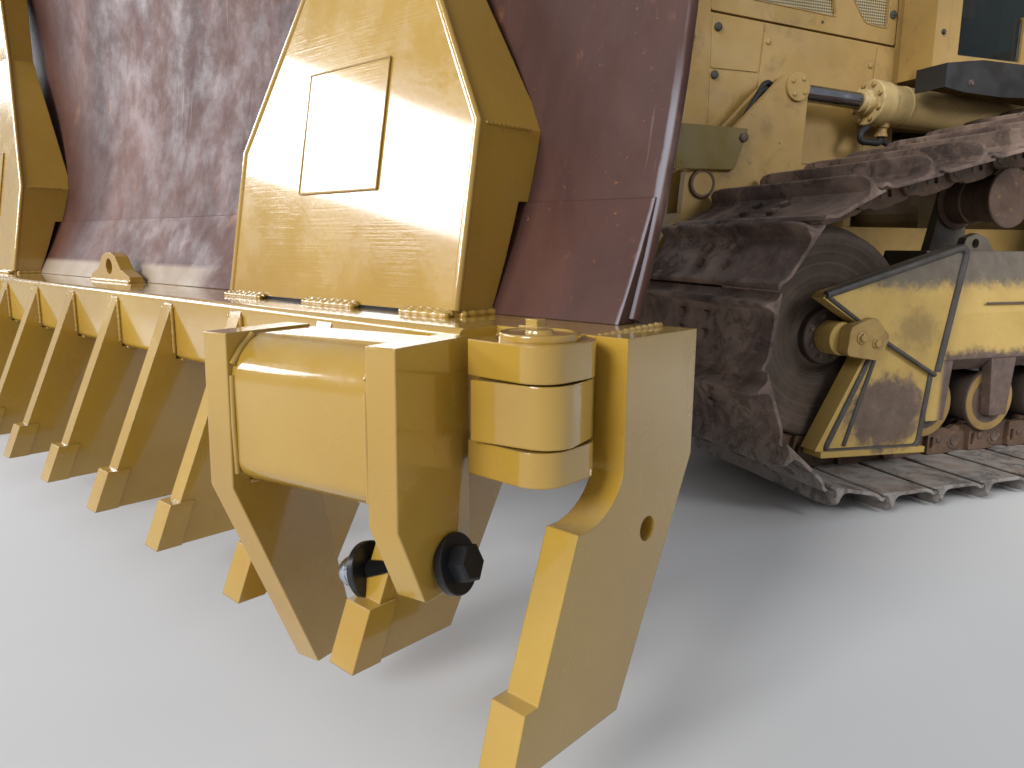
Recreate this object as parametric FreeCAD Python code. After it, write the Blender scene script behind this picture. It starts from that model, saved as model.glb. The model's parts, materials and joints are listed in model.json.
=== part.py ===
"""A crawler bulldozer with a raised rear sprocket, a power angle and tilt blade and a clip-on stick rake.

Millimetres and degrees. The machine is drawn with x to its own left, y rearward from a zero line just behind
the front idler's axle and z up from the ground, and every piece is then placed so that the drawbar's pin bore is the origin.
The blade and its rake are drawn square about the blade's swing pin and placed at the blade's angle.
"""
import FreeCAD
import Part
import math
import os

V = FreeCAD.Vector
X = V(1, 0, 0)
Y = V(0, 1, 0)
Z = V(0, 0, 1)

# Driving dimensions: name, value, what it is
SIZES = (
    ("gauge", 2032, "centre to centre of the tracks"),
    ("shoe_width", 760, "length of a shoe across the track"),
    ("pitch", 203, "pin to pin along the chain"),
    ("rail_height", 50, "chain pin to the rail's running face"),
    ("rail_top", 45, "chain pin to the shoe's seat"),
    ("shoe_plate", 14, "thickness of a shoe's plate"),
    ("grouser", 60, "height of the bar on a shoe"),
    ("grouser_tip", 18, "thickness of the bar at its edge"),
    ("grouser_root", 30, "thickness of the bar at the plate"),
    ("rail_width", 44, "thickness of one chain rail"),
    ("rail_gap", 92, "free width between the two rails"),
    ("idler_tread", 340, "radius of the idler under the rails"),
    ("idler_flange", 22, "height of the idler's middle rib"),
    ("idler_front", 50, "front idler axle ahead of the zero line"),
    ("wheel_sides", 24, "flat sides of an idler's rim"),
    ("idler_base", 3022, "front idler axle to rear idler axle"),
    ("sprocket_ahead", 772, "sprocket axle ahead of the rear idler's axle"),
    ("sprocket_rise", 570, "sprocket axle above the idler axles"),
    ("sprocket_teeth", 25, "teeth of the sprocket"),
    ("chain_phase", 20, "travel of the chain past the front idler's lowest point"),
    ("sprocket_width", 76, "thickness of the sprocket's rim"),
    ("roller_count", 8, "track rollers on a side"),
    ("roller_first", 450, "first track roller behind the front idler's axle"),
    ("roller_tread", 96, "radius of a track roller"),
    ("roller_rib", 20, "height of a roller's flange"),
    ("roller_sides", 12, "flat sides of a roller"),
    ("carrier_tread", 84, "radius of the carrier roller"),
    ("frame_width", 300, "width of a track frame"),
    ("frame_wall", 160, "depth of the track frame's upright side"),
    ("frame_bottom", 385, "underside of the track frame above the ground"),
    ("frame_top", 800, "top of the track frame above the ground"),
    ("gap", 0.3, "clearance between faces that nearly touch"),
    ("fit", 0.05, "radial clearance of a running fit"),
    ("clear", 8, "clearance beside a moving piece"),
    ("hood_half", 450, "half the width of the engine hood"),
    ("hood_front", -120, "front edge of the hood"),
    ("hood_back", 790, "rear edge of the hood"),
    ("hood_top_front", 2080, "top of the hood at its front"),
    ("hood_top_back", 2150, "top of the hood at its back"),
    ("sheet", 22, "thickness of hood, door and panel walls"),
    ("hood_skirt", 130, "upper edge of the engine doors below the top of the hood's front"),
    ("door_foot_front", 1690, "lower edge of the engine door at the front"),
    ("door_foot_back", 1640, "lower edge of the engine door at the back"),
    ("panel_foot", 1130, "lower edge of the fixed side panels"),
    ("guard_depth", 150, "front to back of the radiator guard"),
    ("guard_post", 62, "width of the radiator guard's posts"),
    ("guard_top", 2110, "top of the radiator guard"),
    ("cab_half", 620, "half the width of the cab"),
    ("bulkhead", 24, "thickness of the plate between hood and cab"),
    ("cab_back", 2380, "back of the cab"),
    ("hull_top", 1495, "top of the rear hull, under the cab"),
    ("cab_top", 2940, "underside of the roof"),
    ("headroom", 400, "free height over the seat's back"),
    ("cab_wall", 46, "thickness of the cab's walls and doors"),
    ("cab_post", 90, "width of the cab's posts"),
    ("roof_thick", 110, "thickness of the roof"),
    ("roof_over", 60, "overhang of the roof"),
    ("glass", 8, "thickness of the panes"),
    ("cab_door_front", 890, "front edge of the cab's doorway"),
    ("cab_door_back", 1900, "rear edge of the cab's doorway"),
    ("door_low", 1527, "lower edge of the cab door at its front"),
    ("door_step", 1350, "where the cab door's lower edge steps up over the fender"),
    ("fender_top", 1700, "top of the fenders"),
    ("fender_plate", 12, "thickness of the fenders"),
    ("tank_back", 3060, "rear face of the fuel tank"),
    ("hull_bottom", 520, "underside of the rear hull"),
    ("beam_low", 560, "underside of the main frame's beams"),
    ("beam_high", 900, "top of the main frame's beams"),
    ("beam_outer", 330, "outer face of the main frame's beams"),
    ("lift_pivot_pin", 48, "radius of the lift frame's pivot pins"),
    ("lift_foot_pin", 30, "radius of the lift cylinder's rear pin"),
    ("swing_pin", 50, "radius of the blade's swing pin"),
    ("tilt_shaft", 70, "radius of the blade's tilt shaft"),
    ("tank_top", 2250, "top of the fuel tank"),
    ("drawbar_back", 3380, "drawbar pin behind the zero line"),
    ("drawbar_height", 480, "drawbar pin above the ground"),
    ("drawbar_bore", 52, "diameter of the drawbar's pin bore"),
    ("drawbar_thick", 70, "thickness of the drawbar"),
    ("lift_pivot_back", 450, "lift pivot behind the zero line"),
    ("lift_pivot_height", 620, "lift pivot above the ground"),
    ("arm_inside", 495, "inner face of a lift arm"),
    ("arm_outside", 620, "outer face of a lift arm"),
    ("arm_plate", 28, "thickness of the lift arm's upright plates"),
    ("nose_front", 1590, "blade's swing pin ahead of the zero line"),
    ("nose_height", 950, "blade's tilt axis above the ground"),
    ("apex_back", 164, "lift cylinder's front pin behind the zero line"),
    ("apex_height", 1402, "lift cylinder's front pin above the ground"),
    ("lift_rear_ahead", 500, "lift cylinder's rear pin ahead of the sprocket's axle"),
    ("lift_rear_height", 1330, "lift cylinder's rear pin above the ground"),
    ("lift_barrel", 78, "radius of the lift cylinder's barrel"),
    ("lift_rod", 32, "radius of the lift cylinder's rod"),
    ("lift_gland", 400, "lift rod's eye to the gland"),
    ("angle_barrel", 58, "radius of the angle cylinder's barrel"),
    ("angle_rod", 28, "radius of the angle cylinder's rod"),
    ("tilt_barrel", 55, "radius of the tilt cylinder's barrel"),
    ("tilt_rod", 27, "radius of the tilt cylinder's rod"),
    ("blade_angle", 28, "turn of the blade, left end back"),
    ("blade_width", 3950, "width of the moldboard"),
    ("blade_height", 1400, "height of the moldboard"),
    ("blade_sag", 120, "depth of the moldboard's curve"),
    ("blade_lean", 80, "top of the moldboard behind its foot"),
    ("blade_plate", 22, "thickness of the moldboard"),
    ("edge_height", 203, "height of the cutting edge"),
    ("edge_thick", 25, "thickness of the cutting edge"),
    ("rake_front", 909, "front of the rake's beam ahead of the swing pin"),
    ("beam_top", 685, "top of the rake's beam above the ground"),
    ("beam_depth", 274, "front to back of the rake's beam"),
    ("beam_height", 146, "height of the rake's beam"),
    ("beam_round", 14, "radius of the beam's long corners"),
    ("blade_seat", 246, "moldboard's foot behind the beam's front"),
    ("tine_edge", 276, "outermost tine to the end plate's outer face"),
    ("tine_pitch", 320, "middle to middle of the tines, which the beam's length rounds"),
    ("tine_plate", 45, "thickness of a tine"),
    ("tine_drop", 474, "tine's tip below the top of the beam"),
    ("tine_reach", 209, "tine's tip ahead of the beam"),
    ("tip_width", 56, "width of a tine's wear tip"),
    ("tip_height", 86, "height of a tine's wear tip"),
    ("end_plate", 55, "thickness of the end plates"),
    ("rake_over", 61, "outer face of the end plates beyond the moldboard"),
    ("end_drop", 557, "end plate's tip below the top of the beam"),
    ("tower_width", 784, "width of a tower's foot"),
    ("tower_middle", 1254, "middle of a tower from the middle of the rake"),
    ("tower_front", 127, "tower's foot behind the beam's front"),
    ("tower_knee", 334, "height of the tower's lower knee above the beam"),
    ("tower_neck", 870, "height of the tower's upper knee above the beam"),
    ("neck_width", 150, "width of the tower's neck"),
    ("tower_lean", 0.17, "tower's lean back for its height"),
    ("plate_raise", 3, "thickness of the blank plate on a tower"),
    ("eye_bore", 50, "diameter of the lifting eye's hole"),
    ("eye_plate", 40, "thickness of the lifting eye"),
    ("wing_turn", 12, "wing's rest position from folded flat"),
    ("hinge_radius", 75, "radius of the wing hinge's knuckles"),
    ("hinge_pin", 30, "radius of the wing hinge's pin"),
    ("wing_near", 96, "hinge axis to the wing's near plate"),
    ("wing_plate", 48, "thickness of the wing's plates"),
    ("wing_span", 480, "hinge axis to the wing's outer face"),
    ("wing_depth", 198, "front of the wing ahead of the hinge axis"),
    ("wing_drop", 576, "wing's tip below the top of the beam"),
    ("tube_height", 198, "height of the wing's tube"),
)

doc = FreeCAD.newDocument("bulldozer")
sheet = doc.addObject("Spreadsheet::Sheet", "Sizes")
for row, (alias, value, meaning) in enumerate(SIZES, 1):
    sheet.set(f"A{row}", meaning)
    sheet.set(f"B{row}", str(value))
    sheet.setAlias(f"B{row}", alias)
doc.recompute()


class Sheet:
    """Reads a size from the spreadsheet by its alias."""

    def __getattr__(self, alias):
        return float(sheet.get(alias))


S = Sheet()

# Heights and places that follow from the driving dimensions
GROUND_TO_PIN = S.rail_top + S.shoe_plate + S.grouser
PIN_RADIUS = math.hypot(S.idler_tread + S.rail_height + S.gap, S.pitch / 2)
IDLER_Z = PIN_RADIUS + GROUND_TO_PIN
SPROCKET_Z = IDLER_Z + S.sprocket_rise
TRACK_X = S.gauge / 2
SHOE_INSIDE = TRACK_X - S.shoe_width / 2
BEAM_Y = -S.rake_front
BLADE_Y = BEAM_Y + S.blade_seat
LIFT_X = (S.arm_inside + S.arm_outside) / 2
DOOR_HEAD = S.hood_top_front - S.hood_skirt
CAB_FRONT = S.hood_back + S.bulkhead + S.gap
CAB_FLOOR = S.hull_top + S.gap
DOOR_SILL = S.fender_top + S.clear
FRONT_AXLE = -S.idler_front
REAR_AXLE = S.idler_base - S.idler_front
SPROCKET_Y = REAR_AXLE - S.sprocket_ahead
LIFT_REAR_Y = SPROCKET_Y - S.lift_rear_ahead
END_OUTER = S.blade_width / 2 + S.rake_over
TINE_COUNT = round(2 * (END_OUTER - S.tine_edge) / S.tine_pitch) + 1
TINE_PITCH = 2 * (END_OUTER - S.tine_edge) / (TINE_COUNT - 1)
HINGE_X = END_OUTER + S.clear - S.wing_near

# Placements of the groups of pieces
MACHINE = FreeCAD.Placement(V(0, -S.drawbar_back, -S.drawbar_height), FreeCAD.Rotation())
BLADE = MACHINE.multiply(FreeCAD.Placement(V(0, -S.nose_front, 0), FreeCAD.Rotation(Z, S.blade_angle)))


def wing_place(side):
    """The left wing's hinge frame, or the right one's with side -1."""
    return BLADE.multiply(FreeCAD.Placement(V(side * HINGE_X, BEAM_Y, S.beam_top), FreeCAD.Rotation(Z, side * S.wing_turn)))


def box(x0, x1, y0, y1, z0, z1):
    return Part.makeBox(x1 - x0, y1 - y0, z1 - z0, V(x0, y0, z0))


def prism_x(points, x0, x1):
    """An outline of (y, z) points between two x."""
    wire = Part.makePolygon([V(x0, y, z) for y, z in points + points[:1]])
    return Part.Face(wire).extrude(V(x1 - x0, 0, 0))


def prism_y(points, y0, y1):
    """An outline of (x, z) points between two y."""
    wire = Part.makePolygon([V(x, y0, z) for x, z in points + points[:1]])
    return Part.Face(wire).extrude(V(0, y1 - y0, 0))


def prism_z(points, z0, z1):
    """An outline of (x, y) points between two z."""
    wire = Part.makePolygon([V(x, y, z0) for x, y in points + points[:1]])
    return Part.Face(wire).extrude(V(0, 0, z1 - z0))


def bar(start, end, radius):
    return Part.makeCylinder(radius, (end - start).Length, start, end - start)


def polygon_bar(start, end, radius, count=20):
    """A bar with flat sides, where nothing turns or seats on it."""
    way = end - start
    across = way.cross(Z if abs(way.z) < abs(way.x) + abs(way.y) else X)
    across.normalize()
    along = way.cross(across)
    along.normalize()
    corners = []
    for i in range(count + 1):
        angle = 2 * math.pi * (i + 0.5) / count
        corners.append(start + across * (radius * math.cos(angle)) + along * (radius * math.sin(angle)))
    return Part.Face(Part.makePolygon(corners)).extrude(way)


def wheel(profile, centre, count):
    """Turns (x, radius) points about the line along x through the centre, as flat sides between two end faces."""
    rings = []
    for x, r in profile:
        ring = []
        for i in range(count):
            angle = 2 * math.pi * (i + 0.5) / count
            ring.append(centre + V(x, r * math.cos(angle), r * math.sin(angle)))
        rings.append(ring)
    faces = [Part.Face(Part.makePolygon(ring + ring[:1])) for ring in (rings[0], rings[-1])]
    for a, b in zip(rings, rings[1:]):
        for i in range(count):
            j = (i + 1) % count
            faces.append(Part.Face(Part.makePolygon([a[i], b[i], b[j], a[j], a[i]])))
    solid = Part.makeSolid(Part.makeShell(faces))
    return solid if solid.Volume > 0 else solid.reversed()


def mirrored(shape):
    return shape.mirror(V(0, 0, 0), X)


def joined(shapes):
    first, rest = shapes[0], shapes[1:]
    if not rest:
        return first
    return first.multiFuse(rest).removeSplitter()


def apart(shapes):
    return Part.makeCompound(shapes)


def node(label, shape, placement=MACHINE):
    """A sub-part of the document, in its group's frame."""
    piece = doc.addObject("Part::Feature", label)
    piece.Label = label
    piece.Shape = shape
    piece.Placement = placement.multiply(shape.Placement)
    return piece


def sides(label, shape):
    """The left piece and its mirror image on the right."""
    node(label + "_left", shape)
    node(label + "_right", mirrored(shape))


# Tracks

CIRCLES = (
    # y, z of the three wheels that carry the chain, in the chain's order
    (FRONT_AXLE, IDLER_Z),
    (REAR_AXLE, IDLER_Z),
    (SPROCKET_Y, SPROCKET_Z),
)


def chain_runs():
    """Straight runs between the wheels: start, end and outward direction's angle."""
    runs = []
    for i, (y0, z0) in enumerate(CIRCLES):
        y1, z1 = CIRCLES[(i + 1) % 3]
        out = math.atan2(z1 - z0, y1 - y0) - math.pi / 2
        oy, oz = PIN_RADIUS * math.cos(out), PIN_RADIUS * math.sin(out)
        runs.append(((y0 + oy, z0 + oz), (y1 + oy, z1 + oz), out))
    return runs


def chain_pins():
    """Pin centres, evenly spaced along the loop."""
    stretches = []
    runs = chain_runs()
    for i, (start, end, out) in enumerate(runs):
        stretches.append(("run", math.dist(start, end), start, end))
        turn = (runs[(i + 1) % 3][2] - out) % (2 * math.pi)
        stretches.append(("arc", turn * PIN_RADIUS, CIRCLES[(i + 1) % 3], out))
    length = sum(s[1] for s in stretches)
    count = round(length / S.pitch)
    pins = []
    for i in range(count):
        along = S.chain_phase + length * i / count
        for kind, reach, a, b in stretches:
            if along <= reach:
                break
            along -= reach
        if kind == "run":
            t = along / reach
            pins.append((a[0] + t * (b[0] - a[0]), a[1] + t * (b[1] - a[1])))
        else:
            angle = b + along / PIN_RADIUS
            pins.append((a[0] + PIN_RADIUS * math.cos(angle), a[1] + PIN_RADIUS * math.sin(angle)))
    return pins


def links(pins):
    """Each link's first pin, its direction and its outward direction."""
    found = []
    for i, (y, z) in enumerate(pins):
        y1, z1 = pins[(i + 1) % len(pins)]
        length = math.hypot(y1 - y, z1 - z)
        uy, uz = (y1 - y) / length, (z1 - z) / length
        found.append(((y, z), (uy, uz), (uz, -uy), length))
    return found


def offset_loop(chain, out):
    """Corner points of the chain's polygon, moved outward by a distance."""
    corners = []
    for i, (pin, _, n, _) in enumerate(chain):
        m = chain[i - 1][2]
        scale = out / (1 + m[0] * n[0] + m[1] * n[1])
        corners.append((pin[0] + scale * (m[0] + n[0]), pin[1] + scale * (m[1] + n[1])))
    return corners


def shoe_outline(chain):
    """The loop's outer edge with a plate and a grouser for each shoe."""
    plate = S.rail_top + S.shoe_plate
    tip = plate + S.grouser
    slant = (S.grouser_root - S.grouser_tip) / 2
    lead = 10
    points = []
    for pin, u, n, length in chain:
        for a, b in (
            # along the shoe, out from the pins
            (lead, plate),
            (lead + slant, tip),
            (lead + slant + S.grouser_tip, tip),
            (lead + S.grouser_root, plate),
            (length - lead / 2, plate),
        ):
            points.append((pin[0] + a * u[0] + b * n[0], pin[1] + a * u[1] + b * n[1]))
    return points


def ring_x(outer, inner, x0, x1):
    """A loop between an outer and an inner outline."""
    return prism_x(outer, x0, x1).cut(prism_x(inner, x0, x1))


def tracks():
    chain = links(chain_pins())
    seat = offset_loop(chain, S.rail_top)
    running = offset_loop(chain, -S.rail_height)
    shoes = ring_x(shoe_outline(chain), seat, SHOE_INSIDE, SHOE_INSIDE + S.shoe_width)
    sides("track_shoes", shoes)
    outer = S.rail_gap / 2 + S.rail_width
    rails = [
        ring_x(seat, running, TRACK_X + S.rail_gap / 2, TRACK_X + outer),
        ring_x(seat, running, TRACK_X - outer, TRACK_X - S.rail_gap / 2),
    ]
    sides("track_chain", apart(rails))


def idler(y):
    """A dished idler with a middle rib that runs between the rails."""
    rib = S.rail_gap / 2 - 6
    half = S.rail_gap / 2 + S.rail_width - 4
    tread = S.idler_tread
    outer = [
        # along x from the middle, radius
        (half + IDLER_HUB, 92), (half - 26, 118), (half, tread - 40), (half, tread), (rib, tread), (rib - 10, tread + S.idler_flange),
    ]
    profile = [(-x, r) for x, r in outer] + outer[::-1]
    return wheel(profile, V(TRACK_X, y, IDLER_Z), int(S.wheel_sides))


IDLER_HUB = 12


def sprocket():
    """Toothed rim with a dished hub, between the chain's rails."""
    root = PIN_RADIUS - 34
    tip = PIN_RADIUS + 14
    count = int(S.sprocket_teeth)
    points = []
    for i in range(count):
        for part, radius in ((-0.26, root), (-0.09, tip), (0.09, tip), (0.26, root)):
            angle = 2 * math.pi * (i + part) / count
            points.append((SPROCKET_Y + radius * math.cos(angle), SPROCKET_Z + radius * math.sin(angle)))
    half = S.sprocket_width / 2
    rim = prism_x(points, TRACK_X - half, TRACK_X + half)
    centre = V(TRACK_X, SPROCKET_Y, SPROCKET_Z)
    hub = wheel([(half - 1, 250), (half + 60, 190), (half + 100, 170), (half + 112, 90)], centre, int(S.wheel_sides))
    return joined([rim, hub])


def roller_half():
    """Half the length of a roller, which runs outside the rails."""
    return S.rail_gap / 2 + S.rail_width + 20


def roller(y, tread, z):
    """A roller with a flange outside each rail."""
    inside = S.rail_gap / 2 + S.rail_width + 4
    end = roller_half()
    flange = tread + S.roller_rib
    profile = [(-end, flange), (-inside, flange), (-inside, tread), (inside, tread), (inside, flange), (end, flange)]
    return wheel(profile, V(TRACK_X, y, z), int(S.roller_sides))


def roller_places():
    """Rollers spread evenly along the lower run."""
    first = FRONT_AXLE + S.roller_first
    last = REAR_AXLE - S.roller_first
    count = int(S.roller_count)
    return [first + (last - first) * i / (count - 1) for i in range(count)]


def running_gear():
    wheels = [idler(FRONT_AXLE), idler(REAR_AXLE)]
    node("idlers", apart(wheels + [mirrored(w) for w in wheels]))
    driver = sprocket()
    node("sprockets", apart([driver, mirrored(driver)]))
    rail = GROUND_TO_PIN + S.rail_height
    seat = rail + S.gap + S.roller_tread
    lower = [roller(y, S.roller_tread, seat) for y in roller_places()]
    node("track_rollers", apart(lower + [mirrored(w) for w in lower]))
    carrier = roller(CARRIER_Y, S.carrier_tread, carrier_height())
    node("carrier_rollers", apart([carrier, mirrored(carrier)]))


CARRIER_Y = 690


def carrier_height():
    """Centre of a carrier roller whose top touches the underside of the sloping upper run."""
    rise, reach = S.sprocket_rise, SPROCKET_Y - FRONT_AXLE
    slope = math.atan2(rise, reach)
    middle = IDLER_Z + (CARRIER_Y - FRONT_AXLE) * math.tan(slope)
    return middle + (PIN_RADIUS - S.rail_height - S.gap - S.carrier_tread) / math.cos(slope) - 4


def guard(axle, away):
    """Idler guard: a flat upper plate over a boxed lower one, with the idler's shaft end and its block."""

    def p(dy, z):
        return (axle + away * dy, z)

    side = TRACK_X + S.frame_width / 2
    inner = S.rail_gap / 2 + S.rail_width - 4 + IDLER_HUB + S.gap
    upper = [p(-111, 655), p(-95, 672), p(457, 822), p(470, 800), p(392, 384), p(150, 507)]
    lower = [p(150, 530), p(384, 402), p(352, 134), p(-60, 150)]
    front = [p(150, 530), p(124, 530), p(-84, 160), p(-60, 150)]
    foot = [p(-74, 160), p(366, 144), p(366, 124), p(-74, 140)]
    block = [p(6, 470), p(6, 560), p(130, 590), p(150, 500), p(90, 452)]
    return [
        prism_x(upper, side - 14, side + 38),
        prism_x(lower, side + 8, side + 26),
        prism_x(front, side - 42, side + 26),
        prism_x(foot, side - 38, side + 44),
        prism_x(block, side - 40, side + 24),
        polygon_bar(V(TRACK_X + inner, axle, IDLER_Z), V(side + 18, axle, IDLER_Z), 54),
        polygon_bar(V(TRACK_X - inner, axle, IDLER_Z), V(TRACK_X - S.frame_width / 2, axle, IDLER_Z), 54),
    ]


def track_frame():
    """Box beam with creased sides, idler yokes and guards, roller saddles and the carrier roller's bracket."""
    half = S.frame_width / 2
    top = S.frame_top
    low = S.frame_bottom
    crease = low + 45
    section = [
        # across from the beam's middle, height
        (-half + 60, top), (-half, crease + S.frame_wall), (-half, crease), (-half + 50, low),
        (half - 50, low), (half, crease), (half, crease + S.frame_wall), (half - 60, top),
    ]
    reach = S.idler_tread + 60
    pieces = [prism_y([(TRACK_X + x, z) for x, z in section], FRONT_AXLE + reach, REAR_AXLE - reach)]
    yoke = half - 22
    for axle, away in ((FRONT_AXLE, 1), (REAR_AXLE, -1)):
        for x0, tip in ((TRACK_X + yoke, 40), (TRACK_X - yoke - 20, -70)):
            arm = [
                (axle + away * tip, IDLER_Z + 40), (axle + away * tip, IDLER_Z - 44), (axle + away * 120, IDLER_Z - 80),
                (axle + away * (reach + 20), low + 20), (axle + away * (reach + 20), top - 90), (axle + away * 150, IDLER_Z + 84),
            ]
            pieces.append(prism_x(arm, x0, x0 + 20))
        pieces.extend(guard(axle, away))
    seat = roller_half() + S.gap
    for y in roller_places():
        for x0 in (TRACK_X + seat, TRACK_X - seat - 36):
            pieces.append(prism_x([(y - 62, low + 60), (y - 40, low - 168), (y + 40, low - 168), (y + 62, low + 60)], x0, x0 + 36))
    stand = carrier_height()
    inner = TRACK_X - seat
    pieces.append(prism_x([(CARRIER_Y - 150, top - 160), (CARRIER_Y - 52, stand + 46), (CARRIER_Y + 52, stand + 46), (CARRIER_Y + 80, top - 160)],
                          inner - 36, inner))
    lug = prism_x([(CARRIER_Y - 150, top - 4), (CARRIER_Y - 130, top + 46), (CARRIER_Y - 84, top + 62), (CARRIER_Y - 30, top + 44), (CARRIER_Y + 10, top - 4)],
                  TRACK_X + 30, TRACK_X + 62)
    pieces.append(lug.cut(polygon_bar(V(TRACK_X + 20, CARRIER_Y - 86, top + 26), V(TRACK_X + 70, CARRIER_Y - 86, top + 26), 17, 12)))
    frame = joined(pieces)
    tooth = S.sprocket_width / 2 + 14
    notch = polygon_bar(V(TRACK_X - tooth, SPROCKET_Y, SPROCKET_Z), V(TRACK_X + tooth, SPROCKET_Y, SPROCKET_Z), PIN_RADIUS + 30, 32)
    return frame.cut(notch)


# Chassis

def main_frame():
    """Two longitudinal beams with cross members, the rear hull, the final drives and the pivot shaft."""
    rail_out = S.beam_outer
    rail_in = rail_out - 90
    low, high = S.beam_low, S.beam_high
    pieces = [
        box(rail_in, rail_out, -270, 2000, low, high),
        box(-rail_out, -rail_in, -270, 2000, low, high),
        box(-rail_out, rail_out, -270, -170, low, high + 40),
        box(-rail_out, rail_out, 900, 1000, low, high - 60),
        box(-rail_out, rail_out, -170, 2000, low - 30, low + 2),
    ]
    hull = prism_x([(1850, S.hull_bottom), (2950, S.hull_bottom), (3060, 640), (3060, 1200), (2950, S.hull_top),
                    (1900, S.hull_top), (1850, S.hull_top - 60)], -rail_out, rail_out)
    pieces.append(hull)
    centre_y, centre_z = SPROCKET_Y, SPROCKET_Z
    inner = TRACK_X - S.sprocket_width / 2 - S.gap
    pieces.append(polygon_bar(V(-inner, centre_y, centre_z), V(inner, centre_y, centre_z), 235, 28))
    shaft = TRACK_X - S.frame_width / 2 - S.gap
    pieces.append(polygon_bar(V(-shaft, 1640, 640), V(shaft, 1640, 640), 62, 16))
    pieces.append(polygon_bar(V(-shaft, 1000, 640), V(shaft, 1000, 640), 50, 16))
    for side in (-1, 1):
        x0, x1 = sorted((side * (rail_out - 2), side * (S.arm_inside - S.clear)))
        pieces.append(box(x0, x1, S.lift_pivot_back - 90, S.lift_pivot_back + 90, S.lift_pivot_height - 60, S.lift_pivot_height + 130))
        x0, x1 = sorted((side * (rail_out - 2), side * (LIFT_X - 44)))
        pieces.append(box(x0, x1, LIFT_REAR_Y - 70, LIFT_REAR_Y + 180, S.lift_rear_height - 90, S.lift_rear_height + 70))
        pieces.append(bar(V(side * (S.arm_inside - S.clear - 2), S.lift_pivot_back, S.lift_pivot_height),
                          V(side * S.arm_outside, S.lift_pivot_back, S.lift_pivot_height), S.lift_pivot_pin))
        pieces.append(bar(V(side * (LIFT_X - 46), LIFT_REAR_Y, S.lift_rear_height),
                          V(side * (LIFT_X + 44), LIFT_REAR_Y, S.lift_rear_height), S.lift_foot_pin))
    node("main_frame", joined(pieces))


def radiator_guard():
    """Heavy frame round the grille, closed at its foot."""
    front = S.hood_front - S.guard_depth
    back = S.hood_front
    foot = 940
    outer = box(-S.hood_half, S.hood_half, front, back, foot, S.guard_top)
    hole = box(-S.hood_half + S.guard_post, S.hood_half - S.guard_post, front - 1, back + 1, 1180, S.guard_top - 120)
    node("radiator_guard", outer.cut(hole))
    slat = []
    bottom, top = 1180 + S.gap, S.guard_top - 120 - S.gap
    half = S.hood_half - S.guard_post - S.gap
    count = 9
    frame = box(-half, half, front + 20, front + 50, bottom, top)
    step = (top - bottom - 40) / count
    for i in range(count):
        z0 = bottom + 30 + i * step
        for x0, x1 in ((-half + 40, -20), (20, half - 40)):
            frame = frame.cut(box(x0, x1, front + 19, front + 51, z0, z0 + step - 22))
    node("radiator_grille", frame)


def hood_sections(y):
    """Top of the hood at a place along it."""
    t = (y - S.hood_front) / (S.hood_back - S.hood_front)
    return S.hood_top_front + t * (S.hood_top_back - S.hood_top_front)


def hood_solid(inset, below=0, ends=0):
    """The hood's outer form drawn in by an inset, with bevelled long edges."""
    y0, y1 = S.hood_front - ends, S.hood_back + ends
    side = S.hood_half - inset
    foot = DOOR_HEAD - below
    outline = [(y0, foot), (y1, foot), (y1, hood_sections(y1) - inset), (y0, hood_sections(y0) - inset)]
    body = prism_x(outline, -side, side)
    long_edges = [e for e in body.Edges if e.BoundBox.YLength > 900 and e.BoundBox.ZMin > foot + 20]
    return body.makeChamfer(105, long_edges)


def hood():
    """Top cover down to the doors' upper edge."""
    node("hood", hood_solid(0).cut(hood_solid(S.sheet, 10, 1)))


def door_foot(y):
    t = (y - S.hood_front) / (S.hood_back - S.hood_front)
    return S.door_foot_front + t * (S.door_foot_back - S.door_foot_front)


def side_panels():
    """Fixed panels under the engine doors."""
    panel = prism_x([
        (S.hood_front, S.panel_foot), (S.hood_back, S.panel_foot), (S.hood_back, door_foot(S.hood_back) - S.clear),
        (S.hood_front, door_foot(S.hood_front) - S.clear)], S.hood_half - S.sheet, S.hood_half)
    floor = box(-S.hood_half, S.hood_half, S.hood_front, S.hood_back, S.panel_foot - 20, S.panel_foot)
    bulkhead = box(-S.hood_half, S.hood_half, S.hood_back, S.hood_back + S.bulkhead, S.panel_foot - 18, S.hood_top_back)
    ribs = [box(-S.beam_outer, S.beam_outer, y, y + 40, S.beam_high + S.gap, S.panel_foot - 18) for y in (-100, 700)]
    node("side_panels", joined([panel, mirrored(panel), floor, bulkhead] + ribs))


def engine_doors():
    """Louvred doors hinged at the radiator guard."""
    y0, y1 = S.hood_front + S.gap, S.hood_back - S.clear
    outline = [(y0, door_foot(y0)), (y1, door_foot(y1)), (y1, DOOR_HEAD - S.clear), (y0, DOOR_HEAD - S.clear)]
    door = prism_x(outline, S.hood_half - S.sheet, S.hood_half)
    sides("engine_door", door)


def engine():
    node("engine_block", joined([box(-260, 260, 60, S.hood_back - 30, S.panel_foot, 1700), box(-150, 150, 120, S.hood_back - 90, 1699, 1780)]))


def stacks():
    """Exhaust stack and air precleaner on the hood."""
    y, x = 480, -170
    base = hood_sections(y)
    stack = joined([
        polygon_bar(V(x, y, base - S.sheet), V(x, y, base + 760), 56, 24),
        polygon_bar(V(x, y, base - 6), V(x, y, base + 60), 84, 24),
    ])
    node("exhaust_stack", stack.cut(hood_solid(-S.gap)))
    x = 190
    cleaner = joined([
        polygon_bar(V(x, y, base - S.sheet), V(x, y, base + 150), 52, 16),
        polygon_bar(V(x, y, base + 130), V(x, y, base + 290), 120, 24),
        polygon_bar(V(x, y, base + 289), V(x, y, base + 350), 76, 24),
    ])
    node("air_precleaner", cleaner.cut(hood_solid(-S.gap)))


# Cab

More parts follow.
